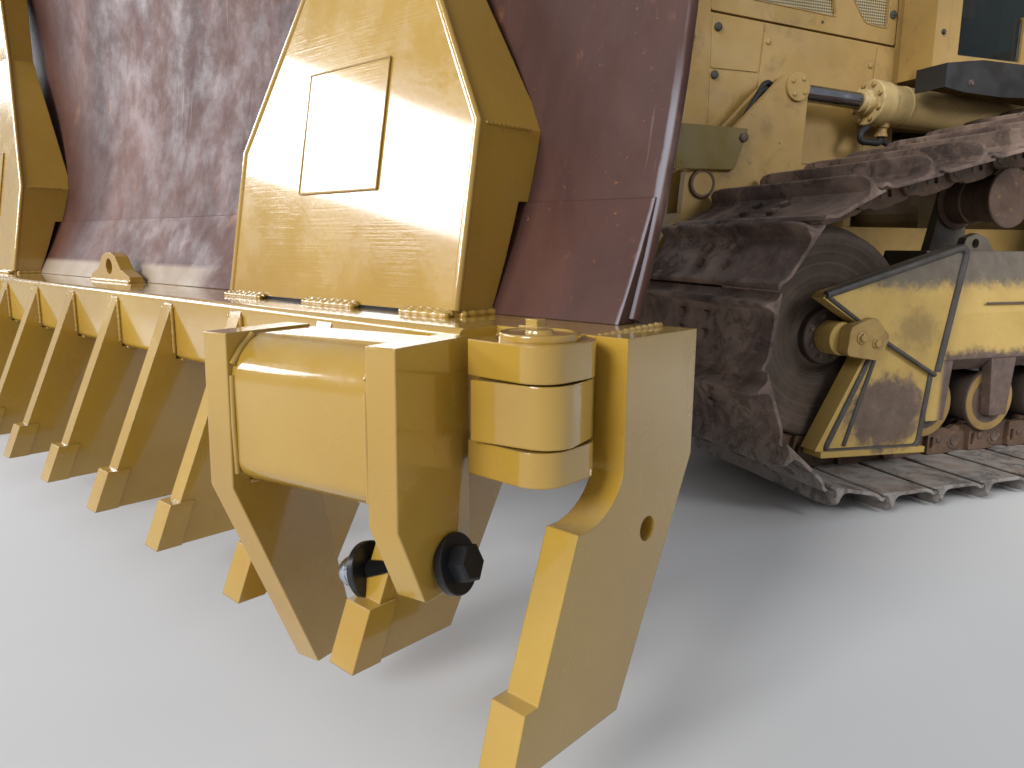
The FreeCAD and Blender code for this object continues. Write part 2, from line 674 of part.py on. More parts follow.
def cab_shell():
    half, wall, post = S.cab_half, S.cab_wall, S.cab_post
    outer = box(-half, half, CAB_FRONT, S.cab_back, CAB_FLOOR, S.cab_top)
    inner = box(-half + wall, half - wall, CAB_FRONT + wall, S.cab_back - wall, CAB_FLOOR + wall, S.cab_top + 1)
    shell = outer.cut(inner)
    sill = 1980
    shell = shell.cut(box(-half + post, half - post, CAB_FRONT - 1, CAB_FRONT + wall + 1, sill, S.cab_top - post))
    shell = shell.cut(box(-half + post, half - post, S.cab_back - wall - 1, S.cab_back + 1, sill, S.cab_top - post))
    door_y1 = S.cab_door_back
    shell = shell.cut(prism_x(doorway(0), -half - 1, half + 1))
    shell = shell.cut(box(-half - 1, half + 1, door_y1 + post, S.cab_back - post, sill, S.cab_top - post))
    node("cab_shell", shell)
    roof = box(-half - S.roof_over, half + S.roof_over, CAB_FRONT - S.roof_over, S.cab_back + S.roof_over, S.cab_top, S.cab_top + S.roof_thick)
    roof = roof.makeChamfer(34, [e for e in roof.Edges if e.BoundBox.ZMin > S.cab_top + S.roof_thick - 1])
    node("cab_roof", roof)
    pane = S.glass
    mid = wall / 2
    panes = [
        box(-half + post, half - post, CAB_FRONT + mid, CAB_FRONT + mid + pane, sill, S.cab_top - post),
        box(-half + post, half - post, S.cab_back - mid - pane, S.cab_back - mid, sill, S.cab_top - post),
        box(half - mid - pane, half - mid, door_y1 + post, S.cab_back - post, sill, S.cab_top - post),
        box(-half + mid, -half + mid + pane, door_y1 + post, S.cab_back - post, sill, S.cab_top - post),
    ]
    node("cab_glass", apart(panes))


def doorway(inset, foot=0):
    """Outline of the doorway, whose front reaches down beside the step, drawn in by an inset."""
    y0, y1, y2 = S.cab_door_front + inset, S.door_step - inset, S.cab_door_back - inset
    low, sill, head = S.door_low + inset + foot, DOOR_SILL + inset + foot, S.cab_top - S.cab_post - inset
    return [(y0, low), (y1, low), (y1, sill), (y2, sill), (y2, head), (y0, head)]


def cab_doors():
    """Doors with a tall window, hinged at the front edge."""
    inside, outside = S.cab_half - S.cab_wall, S.cab_half
    outline = [(y - S.clear + S.gap, z) if y == S.cab_door_front + S.clear else (y, z) for y, z in doorway(S.clear)]
    door = prism_x(outline, inside, outside).cut(prism_x(doorway(DOOR_RIM), inside - 1, outside + 1))
    sides("cab_door", door)
    mid = S.cab_half - S.cab_wall / 2
    sides("cab_door_glass", prism_x(doorway(DOOR_RIM), mid - S.glass / 2, mid + S.glass / 2))


DOOR_RIM = 54


def cab_inside():
    floor = CAB_FLOOR + S.cab_wall
    base = box(-190, 190, 1650, 2080, floor, floor + 250)
    cushion = box(-250, 250, 1600, 2120, floor + 250, floor + 380)
    head = S.cab_top - S.headroom
    back = prism_x([(2040, floor + 379), (2150, floor + 379), (2240, head), (2140, head)], -240, 240)
    node("seat", joined([base, cushion, back]))
    consoles = [box(x, x + 150, 1560, 2060, floor, floor + 520) for x in (-440, 290)]
    dash = prism_x([(CAB_FRONT + S.cab_wall, floor), (CAB_FRONT + 240, floor), (CAB_FRONT + 200, floor + 520), (CAB_FRONT + S.cab_wall, floor + 560)], -330, 330)
    node("controls", apart(consoles + [dash]))


def fuel_tank():
    front = S.cab_back + S.gap
    foot = S.hull_top + S.gap
    outline = [(front, foot), (S.tank_back - 60, foot), (S.tank_back, 1520), (S.tank_back, S.tank_top - 160), (S.tank_back - 150, S.tank_top), (front, S.tank_top)]
    node("fuel_tank", prism_x(outline, -S.cab_half + 20, S.cab_half - 20))


def fenders():
    """Walk plates over the tracks, with a valance against the cab."""
    x0, x1 = S.cab_half + S.gap, TRACK_X + S.shoe_width / 2
    top, plate = S.fender_top, S.fender_plate
    front = S.door_step + S.clear
    outline = [
        (front, top - 150), (front + 170, top), (2950, top), (3200, top - 120),
        (3200, top - 120 - plate), (2950, top - plate), (front + 175, top - plate), (front, top - 150 - plate),
    ]
    deck = prism_x(outline, x0, x1)
    valance = prism_x([(front, top - 155), (front + 170, top - 10), (2900, top - 10), (2900, top - 70), (front + 170, top - 90), (front, top - 200)], x0, x0 + 8)
    one = joined([deck, valance])
    node("fenders", apart([one, mirrored(one)]))


def steps():
    """Step beside the cab with a turned-down edge."""
    x0, x1 = S.cab_half + S.gap, STEP_OUT
    y0, y1 = CAB_FRONT, S.door_step
    head = S.door_low - S.clear
    top = [(y0 - 120, head - 24), (y0 + 60, head), (y1, head), (y1, head - 12), (y0 + 60, head - 12), (y0 - 120, head - 36)]
    skirt = [(y0 - 120, head - 24), (y0 + 60, head), (y1, head), (y1, head - 110), (y0 + 180, head - 128), (y0 - 20, head - 122), (y0 - 120, head - 110)]
    tray = joined([
        prism_x([(y0, head - 8), (y0 + 60, head), (y1, head), (y1, head - 12), (y0 + 60, head - 12), (y0, head - 20)], x0, x1),
        prism_x(top, x0 + 40, x1),
        prism_x(skirt, x1 - 12, x1),
        box(x0 + 40, x1, y0 - 120, y0 - 108, head - 110, head - 30),
    ])
    node("steps", apart([tray, mirrored(tray)]))


STEP_OUT = 800


def lamps():
    """Work lamps on the roof's front and rear edges and on the hood."""
    lamp = []
    for x in (-420, 420):
        for y0, y1 in ((CAB_FRONT - S.roof_over - 80, CAB_FRONT - S.roof_over), (S.cab_back + S.roof_over, S.cab_back + S.roof_over + 80)):
            lamp.append(box(x - 80, x + 80, y0, y1, S.cab_top + 6, S.cab_top + S.roof_thick - 40))
    node("lamps", apart(lamp))


def drawbar():
    """Flat bar with its pin bore, which is the origin, under the rear hull."""
    y, z = S.drawbar_back, S.drawbar_height
    half = S.drawbar_thick / 2
    bar_plate = joined([
        box(-90, 90, 2700, y, z - half, z + half),
        bar(V(0, y, z - half), V(0, y, z + half), 90),
        box(-160, 160, 2760, 2930, z - half - 30, S.hull_bottom - S.gap),
    ])
    bore = bar(V(0, y, z - half - 1), V(0, y, z + half + 1), S.drawbar_bore / 2)
    node("drawbar", bar_plate.cut(bore))


# Lift frame, knuckle and cylinders

def eye_and_rod(label, start, end, radius, eye, width, across, placement=MACHINE):
    """A rod from its eye's centre at the start to its hidden end inside the barrel."""
    way = end - start
    way.normalize()
    ring = polygon_bar(start - across * (width / 2), start + across * (width / 2), eye, 16)
    shaft = bar(start + way * (eye - 8), end, radius)
    node(label, joined([ring, shaft]), placement)


def barrel(label, gland, foot, radius, rod, eye, width, across, pin, placement=MACHINE):
    """A tube with a gland round the rod, closed by the foot whose eye turns on the pin."""
    way = foot - gland
    way.normalize()
    tube = polygon_bar(gland + way * 40, foot - way * (eye + 30), radius)
    collar = polygon_bar(gland, gland + way * 70, radius + 8)
    foot_eye = polygon_bar(foot - across * (width / 2), foot + across * (width / 2), eye, 16)
    neck = polygon_bar(foot - way * (eye + 50), foot - way * (eye * 0.4), width * 0.48, 12)
    body = joined([tube, collar, foot_eye, neck])
    body = body.cut(bar(gland - way, gland + way * 72, rod + S.fit))
    body = body.cut(polygon_bar(gland + way * 70, foot - way * (eye + 54), radius - 12, 12))
    body = body.cut(bar(foot - across * width, foot + across * width, pin + S.fit))
    node(label, body, placement)


def lift_frame():
    """Two plated arms with towers, a cross tube and a nose that carries the blade's swing pin."""
    py, pz = S.lift_pivot_back, S.lift_pivot_height
    ay, az = S.apex_back, S.apex_height
    plate = [
        # y, z round one arm plate
        (py + 90, pz - 40), (py + 90, pz + 60), (py + 20, pz + 150), (py - 150, 950), (ay + 42, 1130), (ay + 53, az), (ay + 28, az + 46),
        (ay - 32, az + 50), (ay - 62, az + 38), (-106, 1237), (-200, 1130), (-306, 1077), (-318, 920), (-420, 800), (-700, 780), (-700, 560),
        (-200, 480), (py - 60, pz - 95), (py + 40, pz - 95),
    ]
    bracket = [(-362, 1240), (-60, 1236), (-112, 1089), (-362, 1084)]
    filler = [(-690, 570), (-690, 770), (-430, 790), (-316, 930), (-100, 930), (-60, 520), (-200, 490)]
    pieces = []
    for side in (-1, 1):
        for x in (S.arm_inside, S.arm_outside - S.arm_plate):
            x0, x1 = sorted((side * x, side * (x + S.arm_plate)))
            pieces.append(prism_x(plate, x0, x1))
        x0, x1 = sorted((side * (S.arm_inside + 2), side * (S.arm_outside - 2)))
        pieces.append(prism_x(filler, x0, x1))
        x0, x1 = sorted((side * (S.arm_outside - 2), side * (S.arm_outside + 22)))
        pieces.append(prism_x(bracket, x0, x1))
        pieces.append(polygon_bar(V(side * (S.arm_outside - 2), ay, az), V(side * (S.arm_outside + 8), ay, az), 50))
        pieces.append(polygon_bar(V(side * (S.arm_outside - 2), -236, 1036), V(side * (S.arm_outside + 10), -236, 1036), 50))
    out = S.arm_outside
    nose_y = -S.nose_front
    web_top = WEB_TOP
    outline = [
        (out, -690), (out, -560), (S.arm_inside, -560), (S.arm_inside - 60, -660), (120, -1290), (-120, -1290),
        (-S.arm_inside + 60, -660), (-S.arm_inside, -560), (-out, -560), (-out, -690), (-150, nose_y + 120), (150, nose_y + 120)]
    pieces.append(prism_z(outline, S.beam_low, web_top))
    pieces.append(polygon_bar(V(-S.arm_inside - 4, -620, 670), V(S.arm_inside + 4, -620, 670), 90))
    nose_top = S.nose_height + 170
    riser = [(-1300, 570), (nose_y + 125, 600), (nose_y + 125, nose_top), (-1380, nose_top), (-1200, web_top - 10)]
    pieces.append(prism_x(riser, -118, 118))
    for z in (S.nose_height - 190, S.nose_height + 110):
        pieces.append(prism_z([(-118, nose_y + 130), (118, nose_y + 130), (100, nose_y), (-100, nose_y)], z, z + 60))
        pieces.append(polygon_bar(V(0, nose_y, z), V(0, nose_y, z + 60), 100))
    for side in (-1, 1):
        foot = V(side * ANGLE_X, -ANGLE_FOOT_Y, 0)
        pieces.append(polygon_bar(foot + V(0, 0, web_top - 10), foot + V(0, 0, PAD_TOP), 66, 12))
    frame = joined(pieces)
    frame = frame.cut(bar(V(0, nose_y, S.nose_height - 200), V(0, nose_y, S.nose_height + 180), S.swing_pin + S.fit))
    for side in (-1, 1):
        frame = frame.cut(bar(V(side * (S.arm_inside - 1), py, pz), V(side * (S.arm_outside + 1), py, pz), S.lift_pivot_pin + S.fit))
    node("lift_frame", frame)


def angle_pins():
    """Flanged pins on the lift frame's pads, on which the angle cylinders turn."""
    pins = []
    for side in (-1, 1):
        foot = V(side * ANGLE_X, -ANGLE_FOOT_Y, 0)
        flange = polygon_bar(foot + V(0, 0, PAD_TOP + S.gap), foot + V(0, 0, ANGLE_Z - ANGLE_EYE / 2 - S.gap), 52, 12)
        pins.append(joined([flange, bar(foot + V(0, 0, PAD_TOP + S.gap), foot + V(0, 0, ANGLE_Z + ANGLE_EYE / 2 + 20), ANGLE_PIN)]))
    node("angle_pins", apart(pins))


# Pins of the angle and tilt cylinders, seen from the lift frame and from the square blade
ANGLE_X = 520
ANGLE_FOOT_Y = 640
ANGLE_Z = 850
ANGLE_EYE = 60
ANGLE_PIN = 26
ANGLE_YOKE = (600, -150)
ANGLE_BODY = 722
ANGLE_ROD_LENGTH = 690
WEB_TOP = 780
PAD_TOP = 800
TILT_Z = 1330
TILT_FOOT = (-330, -265)
TILT_EYE = (330, -265)


def lift_cylinders():
    for side, name in ((1, "left"), (-1, "right")):
        front = V(side * LIFT_X, S.apex_back, S.apex_height)
        back = V(side * LIFT_X, LIFT_REAR_Y, S.lift_rear_height)
        way = back - front
        way.normalize()
        gland = front + way * S.lift_gland
        eye_and_rod("lift_rod_" + name, front, back - way * 300, S.lift_rod, 52, 54, X)
        barrel("lift_barrel_" + name, gland, back, S.lift_barrel, S.lift_rod, 62, 60, X, S.lift_foot_pin)


def on_blade(x, y, z):
    """A point of the square blade, turned to the blade's angle, in the machine's frame."""
    turn = FreeCAD.Placement(V(0, -S.nose_front, 0), FreeCAD.Rotation(Z, S.blade_angle))
    return turn.multVec(V(x, y, z))


def angle_cylinders():
    """Both cylinders have the same rod, far out on the side whose end is forward."""
    for side, name in ((1, "left"), (-1, "right")):
        eye = on_blade(side * ANGLE_YOKE[0], ANGLE_YOKE[1], ANGLE_Z)
        foot = V(side * ANGLE_X, -ANGLE_FOOT_Y, ANGLE_Z)
        way = foot - eye
        way.normalize()
        eye_and_rod("angle_rod_" + name, eye, eye + way * ANGLE_ROD_LENGTH, S.angle_rod, 46, 50, Z)
        barrel("angle_barrel_" + name, foot - way * ANGLE_BODY, foot, S.angle_barrel, S.angle_rod, 58, ANGLE_EYE, Z, ANGLE_PIN)


def knuckle():
    """Block on the swing pin with the tilt shaft ahead, a yoke for the angle rods and a horn for the tilt cylinder."""
    z = S.nose_height
    block = [
        polygon_bar(V(0, 0, z - 130 + S.gap), V(0, 0, z + 110 - S.gap), 100),
        box(-90, 90, -190, 0, z - 120, z + 100),
        bar(V(0, -189, z), V(0, -420, z), S.tilt_shaft),
        prism_x([(-190, z), (-120, z), (-150, TILT_Z + 60), (-190, TILT_Z + 60)], -60, 60),
        box(TILT_FOOT[0] - 50, 60, -190, -150, TILT_Z - 60, TILT_Z + 60),
        bar(V(TILT_FOOT[0], -152, TILT_Z), V(TILT_FOOT[0], -305, TILT_Z), 24),
        bar(V(0, 0, z - 190), V(0, 0, z + 170), S.swing_pin),
    ]
    yx, yy = ANGLE_YOKE
    low, high = ANGLE_Z - 60, ANGLE_Z + 60
    block.append(box(-yx + 100, yx - 100, -190, -120, low, high))
    for z0 in (low, high - 22):
        block.append(box(-yx - 60, yx + 60, -200, -100, z0, z0 + 22))
    node("blade_knuckle", joined(block), BLADE)


def tilt_cylinder():
    eye = V(TILT_EYE[0], TILT_EYE[1], TILT_Z)
    foot = V(TILT_FOOT[0], TILT_FOOT[1], TILT_Z)
    way = foot - eye
    way.normalize()
    eye_and_rod("tilt_rod", eye, foot - way * 200, S.tilt_rod, 42, 46, Y, BLADE)
    barrel("tilt_barrel", foot - way * 430, foot, S.tilt_barrel, S.tilt_rod, 50, 50, Y, 24, BLADE)


# Blade

BLADE_FOOT = S.beam_top + S.gap
BLADE_TOP = BLADE_FOOT + S.blade_height


def face_circle():
    """Centre and radius of the arc through the face's foot, middle and top."""
    foot = V(0, BLADE_Y, BLADE_FOOT)
    top = V(0, BLADE_Y + S.blade_lean, BLADE_TOP)
    middle = (foot + top) * 0.5 + V(0, S.blade_sag, 0)
    curve = Part.Arc(foot, middle, top).toShape().Curve
    return curve.Center.y, curve.Center.z, curve.Radius


def face_at(z):
    """y of the moldboard's face at a height z: the curve is hollow toward the front."""
    cy, cz, radius = face_circle()
    return cy + math.sqrt(radius ** 2 - (z - cz) ** 2)


def arc_plate(ahead, behind, z0, z1, x0, x1):
    """A plate that follows the moldboard's curve, from one distance behind its face to another, cut off level."""
    cy, cz, radius = face_circle()

    def point(z, out):
        angle = math.asin((z - cz) / radius)
        return V(x0, cy + (radius + out) * math.cos(angle), cz + (radius + out) * math.sin(angle))

    low, high = z0 - 60, z1 + 60
    middle = (low + high) / 2
    front = Part.Arc(point(low, ahead), point(middle, ahead), point(high, ahead)).toShape()
    top = Part.LineSegment(point(high, ahead), point(high, behind)).toShape()
    back = Part.Arc(point(high, behind), point(middle, behind), point(low, behind)).toShape()
    foot = Part.LineSegment(point(low, behind), point(low, ahead)).toShape()
    plate = Part.Face(Part.Wire([front, top, back, foot])).extrude(V(x1 - x0, 0, 0))
    return plate.common(box(x0 - 1, x1 + 1, BLADE_Y - 500, BLADE_Y + 900, z0, z1))


def moldboard():
    """Curved plate with box stiffeners and ribs behind, the tilt shaft's boss and the tilt rod's bracket."""
    half = S.blade_width / 2
    z0, z1 = BLADE_FOOT, BLADE_TOP
    t = S.blade_plate
    pieces = [
        arc_plate(0, t, z0, z1, -half, half),
        arc_plate(t - 2, t + 90, z1 - 190, z1 - 12, -half, half),
        arc_plate(t - 2, t + 120, z0 + 30, z0 + 290, -half, half),
    ]
    for x in (-half, -1250, -690, 665, 1225, half - 25):
        pieces.append(arc_plate(t - 2, t + 85, z0 + 60, z1 - 60, x, x + 25))
    zt = S.nose_height
    pieces.append(polygon_bar(V(0, -208, zt), V(0, face_at(zt) + 4, zt), 130, 24))
    ez = TILT_Z
    ex = TILT_EYE[0]
    pieces.append(box(ex - 30, ex + 50, face_at(ez) + 10, TILT_EYE[1] - 23 - S.gap, ez - 50, ez + 50))
    body = joined(pieces)
    body = body.cut(bar(V(0, -207, zt), V(0, -430, zt), S.tilt_shaft + S.fit))
    node("moldboard", body, BLADE)


def cutting_edge():
    """Bolt-on edge along the moldboard's foot."""
    half = S.blade_width / 2
    edge = arc_plate(-S.edge_thick - S.gap, -S.gap, BLADE_FOOT, BLADE_FOOT + S.edge_height, -half, half)
    node("cutting_edge", edge, BLADE)


# Rake

def rake_beam():
    half = END_OUTER - S.end_plate
    beam = box(-half, half, BEAM_Y, BEAM_Y + S.beam_depth, S.beam_top - S.beam_height, S.beam_top)
    beam = beam.makeFillet(S.beam_round, [e for e in beam.Edges if e.BoundBox.XLength > half])
    step = S.hinge_radius + S.clear
    for side in (-1, 1):
        x0, x1 = sorted((side * (HINGE_X - S.hinge_radius - 83), side * (half + 1)))
        beam = beam.cut(box(x0, x1, BEAM_Y - 1, BEAM_Y + step, S.beam_top - S.beam_height - 1, S.beam_top + 1))
    node("rake_beam", beam, BLADE)


def tine_places():
    return [(i - (TINE_COUNT - 1) / 2) * TINE_PITCH for i in range(TINE_COUNT)]


def tine():
    """Forward-raking plate that hooks under the beam, with a wear tip."""
    y, top = BEAM_Y, S.beam_top
    foot = top - S.tine_drop
    under = top - S.beam_height
    half = S.tine_plate / 2
    outline = [
        (y, top - S.beam_round), (y - S.tine_reach + TIP_PROUD, foot), (y - S.tine_reach + 195, foot), (y + 173, under), (y, under)]
    plate = prism_x(outline, -half, half)
    tip_half = S.tip_width / 2
    slope = (S.tine_reach - TIP_PROUD) / S.tine_drop
    z1 = foot + S.tip_height
    y0 = y - S.tine_reach
    y1 = y0 + slope * S.tip_height
    tip = prism_x([(y0, foot), (y0 + 50, foot), (y1 + 50, z1), (y1, z1)], -tip_half, tip_half)
    return joined([plate, tip])


TIP_PROUD = 20


def rake_tines():
    one = tine()
    tines = []
    for x in tine_places():
        copy = one.copy()
        copy.translate(V(x, 0, 0))
        tines.append(copy)
    node("rake_tines", apart(tines), BLADE)


def end_plates():
    """Thick hooked plates at the beam's ends, each with the hole for the wing's locking bolt."""
    x1 = END_OUTER
    x0 = x1 - S.end_plate
    top = S.beam_top
    foot = top - S.end_drop
    y = BEAM_Y

    def p(dy, dz):
        return V(x0, y + dy, top + dz)

    front = S.hinge_radius + S.clear
    edges = [
        Part.LineSegment(p(front, 0), p(front, -192)).toShape(),
        Part.Arc(p(front, -192), p(50, -236), p(-19, -253)).toShape(),
        Part.LineSegment(p(-19, -253), p(-96, -464)).toShape(),
        Part.LineSegment(p(-96, -464), p(-128, -S.end_drop)).toShape(),
        Part.LineSegment(p(-128, -S.end_drop), p(85, -S.end_drop)).toShape(),
        Part.LineSegment(p(85, -S.end_drop), p(270, -197)).toShape(),
        Part.LineSegment(p(270, -197), p(270, 0)).toShape(),
        Part.LineSegment(p(270, 0), p(front, 0)).toShape(),
    ]
    plate = Part.Face(Part.Wire(edges)).extrude(V(S.end_plate, 0, 0))
    plate = plate.cut(bar(V(x0 - 1, y + LOCK_Y, top - LOCK_DROP), V(x1 + 1, y + LOCK_Y, top - LOCK_DROP), 19))
    tip = prism_x([(y - 148, foot), (y - 110, foot), (y - 84, foot + 90), (y - 122, foot + 90)], x0 - 4, x1)
    plate = joined([plate, tip])
    node("rake_end_plates", apart([plate, mirrored(plate)]), BLADE)


LOCK_Y = 150
LOCK_DROP = 290


def lugs(heights):
    """The fixed knuckles of a wing's hinge at the given heights below the beam's top."""
    step = S.hinge_radius + S.clear
    r = S.hinge_radius
    found = []
    for z0, z1 in heights:
        plate = joined([
            box(HINGE_X - r, HINGE_X + r, BEAM_Y, BEAM_Y + step, S.beam_top + z0, S.beam_top + z1),
            bar(V(HINGE_X, BEAM_Y, S.beam_top + z0), V(HINGE_X, BEAM_Y, S.beam_top + z1), r),
        ])
        found.append(plate)
    return found


FIXED_KNUCKLES = ((-50, 0), (-188, -140))
WING_KNUCKLE = (-137, -53)


def wing_hinges():
    """Fixed knuckles with the hinge pin through them."""
    pieces = lugs(FIXED_KNUCKLES)
    pin = bar(V(HINGE_X, BEAM_Y, S.beam_top - 226), V(HINGE_X, BEAM_Y, S.beam_top + 24), S.hinge_pin)
    cap = polygon_bar(V(HINGE_X, BEAM_Y, S.beam_top), V(HINGE_X, BEAM_Y, S.beam_top + 14), 56)
    back = box(HINGE_X - S.hinge_radius, END_OUTER - S.end_plate, BEAM_Y + S.hinge_radius + S.clear, BEAM_Y + S.beam_depth,
               S.beam_top - 188, S.beam_top - S.beam_height)
    hinge = joined(pieces + [pin, cap, back])
    node("wing_hinges", apart([hinge, mirrored(hinge)]), BLADE)


def wing():
    """Folding wing drawn flat against the rake: near plate, tube and outer tine, about the hinge axis."""
    near, t, span, depth = S.wing_near, S.wing_plate, S.wing_span, S.wing_depth
    r = S.hinge_radius
    z0, z1 = WING_KNUCKLE
    knuckle_body = joined([
        bar(V(0, 0, z0), V(0, 0, z1), r),
        prism_z([(0, -r), (0, 50), (-near - 4, 50), (-near - 4, -r)], z0, z1),
    ])
    near_plate = prism_x([(-32, 0), (-32, -352), (-80, -352), (-depth, -234), (-depth, 0)], -near - t, -near)
    near_plate = joined([near_plate, box(-near - t, -near, -32 - 1, 50, z0, z1)])
    tube = prism_x([(-62, -4), (-depth + 40, -4), (-depth, -44), (-depth, -S.tube_height), (-62, -S.tube_height)], -span + t - 1, -near - t + 1)
    outer = prism_x([(-32, 0), (-32, -230), (60, -S.wing_drop), (-depth + 147, -S.wing_drop), (-depth, -224), (-depth, 0)], -span, -span + t)
    tip = prism_x([(-depth + 120, -S.wing_drop), (-depth + 170, -S.wing_drop), (-depth + 135, -S.wing_drop + 86), (-depth + 85, -S.wing_drop + 86)],
                  -span - 4, -span + t + 4)
    body = joined([knuckle_body, near_plate, tube, outer, tip])
    body = body.cut(bar(V(0, 0, z0 - 1), V(0, 0, z1 + 1), S.hinge_pin + S.fit))
    bolt_y, bolt_z = -LOCK_Y, -LOCK_DROP
    bolt = joined([
        polygon_bar(V(-near - t - 70, bolt_y, bolt_z), V(-near + 40, bolt_y, bolt_z), 18, 12),
        polygon_bar(V(-near, bolt_y, bolt_z), V(-near + 14, bolt_y, bolt_z), 36, 16),
        polygon_bar(V(-near - t - 14, bolt_y, bolt_z), V(-near - t, bolt_y, bolt_z), 36, 16),
        polygon_bar(V(-near + 13, bolt_y, bolt_z), V(-near + 40, bolt_y, bolt_z), 27, 6),
        polygon_bar(V(-near - t - 40, bolt_y, bolt_z), V(-near - t - 13, bolt_y, bolt_z), 27, 6),
    ])
    return joined([body, bolt])


def wings():
    shape = wing()
    node("rake_wing_left", shape, wing_place(1))
    node("rake_wing_right", mirrored(shape), wing_place(-1))


def tower():
    """Box tower that widens at its foot, leans back with the moldboard and hooks over its top edge."""
    mid = S.tower_middle
    w = S.tower_width / 2
    n = S.neck_width / 2
    top = S.beam_top
    knee, neck = top + S.tower_knee, top + S.tower_neck
    head = BLADE_TOP + S.gap + 30
    y0 = BEAM_Y + S.tower_front
    y_neck = y0 + S.tower_lean * S.tower_neck
    blade_top = face_at(BLADE_TOP)
    front_outline = [(mid - w, top), (mid - w, knee), (mid - n, neck), (mid - n, head),
                     (mid + n, head), (mid + n, neck), (mid + w, knee), (mid + w, top)]
    profile = [(y0, top), (y_neck, neck), (blade_top - 60, head), (blade_top + 40, head), (blade_top + 40, top)]
    solid = prism_x(profile, mid - w, mid + w).common(prism_y(front_outline, y0 - 50, blade_top + 200))
    solid = solid.cut(arc_plate(-S.gap, 400, BLADE_FOOT - 30, BLADE_TOP + S.gap, mid - w - 1, mid + w + 1))
    solid = solid.cut(arc_plate(-S.edge_thick - 2 * S.gap, 1, BLADE_FOOT - 30, BLADE_FOOT + S.edge_height + S.gap, mid - w - 1, mid + w + 1))
    lip = box(mid - n, mid + n, blade_top - 60, blade_top + 160, BLADE_TOP + S.gap, head)
    hook = box(mid - n, mid + n, blade_top + 140, blade_top + 160, BLADE_TOP - 90, head)
    return joined([solid, lip, hook])


def towers():
    shape = tower()
    node("rake_towers", apart([shape, mirrored(shape)]), BLADE)
    mid = S.tower_middle
    lean = S.tower_lean
    y0 = BEAM_Y + S.tower_front
    plates = []
    for side in (-1, 1):
        z0, z1 = S.beam_top + 230, S.beam_top + 480
        p = [(y0 + lean * 230 - S.plate_raise, z0), (y0 + lean * 480 - S.plate_raise, z1), (y0 + lean * 480, z1), (y0 + lean * 230, z0)]
        plates.append(prism_x(p, side * mid - 135, side * mid + 135))
    node("tower_plates", apart(plates), BLADE)


def lifting_eye():
    """Eye plate welded to the middle of the beam's top."""
    y0 = BEAM_Y + S.tower_front + 40
    z = S.beam_top
    outline = [(-160, z), (-156, z + 18), (-90, z + 40), (-52, z + 80), (-20, z + 92), (20, z + 92), (52, z + 80), (90, z + 40), (156, z + 18), (160, z)]
    plate = prism_y(outline, y0, y0 + S.eye_plate)
    bore = bar(V(0, y0 - 1, z + 48), V(0, y0 + S.eye_plate + 1, z + 48), S.eye_bore / 2)
    node("lifting_eye", plate.cut(bore), BLADE)


tracks()
running_gear()
sides("track_frame", track_frame())
main_frame()
radiator_guard()
hood()
side_panels()
engine_doors()
engine()
stacks()
cab_shell()
cab_doors()
cab_inside()
fuel_tank()
fenders()
steps()
lamps()
drawbar()
lift_frame()
angle_pins()
lift_cylinders()
angle_cylinders()
knuckle()
tilt_cylinder()
moldboard()
cutting_edge()
rake_beam()
rake_tines()
end_plates()
wing_hinges()
wings()
towers()
lifting_eye()

doc.recompute()
os.makedirs("parts", exist_ok=True)
for piece in doc.Objects:
    if any(word in piece.State for word in ("Invalid", "Error")):
        raise RuntimeError(f"{piece.Label} failed: {piece.State}")
    if piece is sheet:
        continue
    if piece.Shape.isNull() or not piece.Shape.isValid():
        raise RuntimeError(f"{piece.Label} has no valid shape")
for piece in doc.Objects:
    if piece is not sheet:
        piece.Shape.exportStep(os.path.join("parts", piece.Label + ".step"))
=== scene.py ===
"""The looks of a crawler bulldozer with a clip-on stick rake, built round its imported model."""
import json
import math
import random

import bmesh
import bpy
from mathutils import Matrix, Vector
from mathutils.geometry import tessellate_polygon


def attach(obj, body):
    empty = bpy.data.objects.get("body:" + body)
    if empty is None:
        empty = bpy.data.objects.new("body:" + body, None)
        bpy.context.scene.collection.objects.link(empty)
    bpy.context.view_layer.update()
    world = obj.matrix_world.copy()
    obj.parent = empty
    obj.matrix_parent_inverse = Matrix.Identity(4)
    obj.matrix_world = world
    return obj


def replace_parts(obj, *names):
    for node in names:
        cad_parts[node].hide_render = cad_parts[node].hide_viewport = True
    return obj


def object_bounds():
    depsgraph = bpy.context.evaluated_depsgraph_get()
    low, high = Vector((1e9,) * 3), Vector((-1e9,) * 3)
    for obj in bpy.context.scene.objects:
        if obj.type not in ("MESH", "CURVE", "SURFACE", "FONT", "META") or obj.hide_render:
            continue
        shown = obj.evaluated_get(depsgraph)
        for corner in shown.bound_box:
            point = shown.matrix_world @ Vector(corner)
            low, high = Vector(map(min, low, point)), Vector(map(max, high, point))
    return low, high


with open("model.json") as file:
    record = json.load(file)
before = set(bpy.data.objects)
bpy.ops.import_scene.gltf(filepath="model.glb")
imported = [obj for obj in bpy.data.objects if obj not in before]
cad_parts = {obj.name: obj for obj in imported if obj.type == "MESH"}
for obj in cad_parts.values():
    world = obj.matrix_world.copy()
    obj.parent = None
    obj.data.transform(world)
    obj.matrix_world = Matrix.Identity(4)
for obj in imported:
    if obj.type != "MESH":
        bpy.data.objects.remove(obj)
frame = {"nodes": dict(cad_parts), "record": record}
CAD_LOW, CAD_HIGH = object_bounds()
dice = random.Random(11)

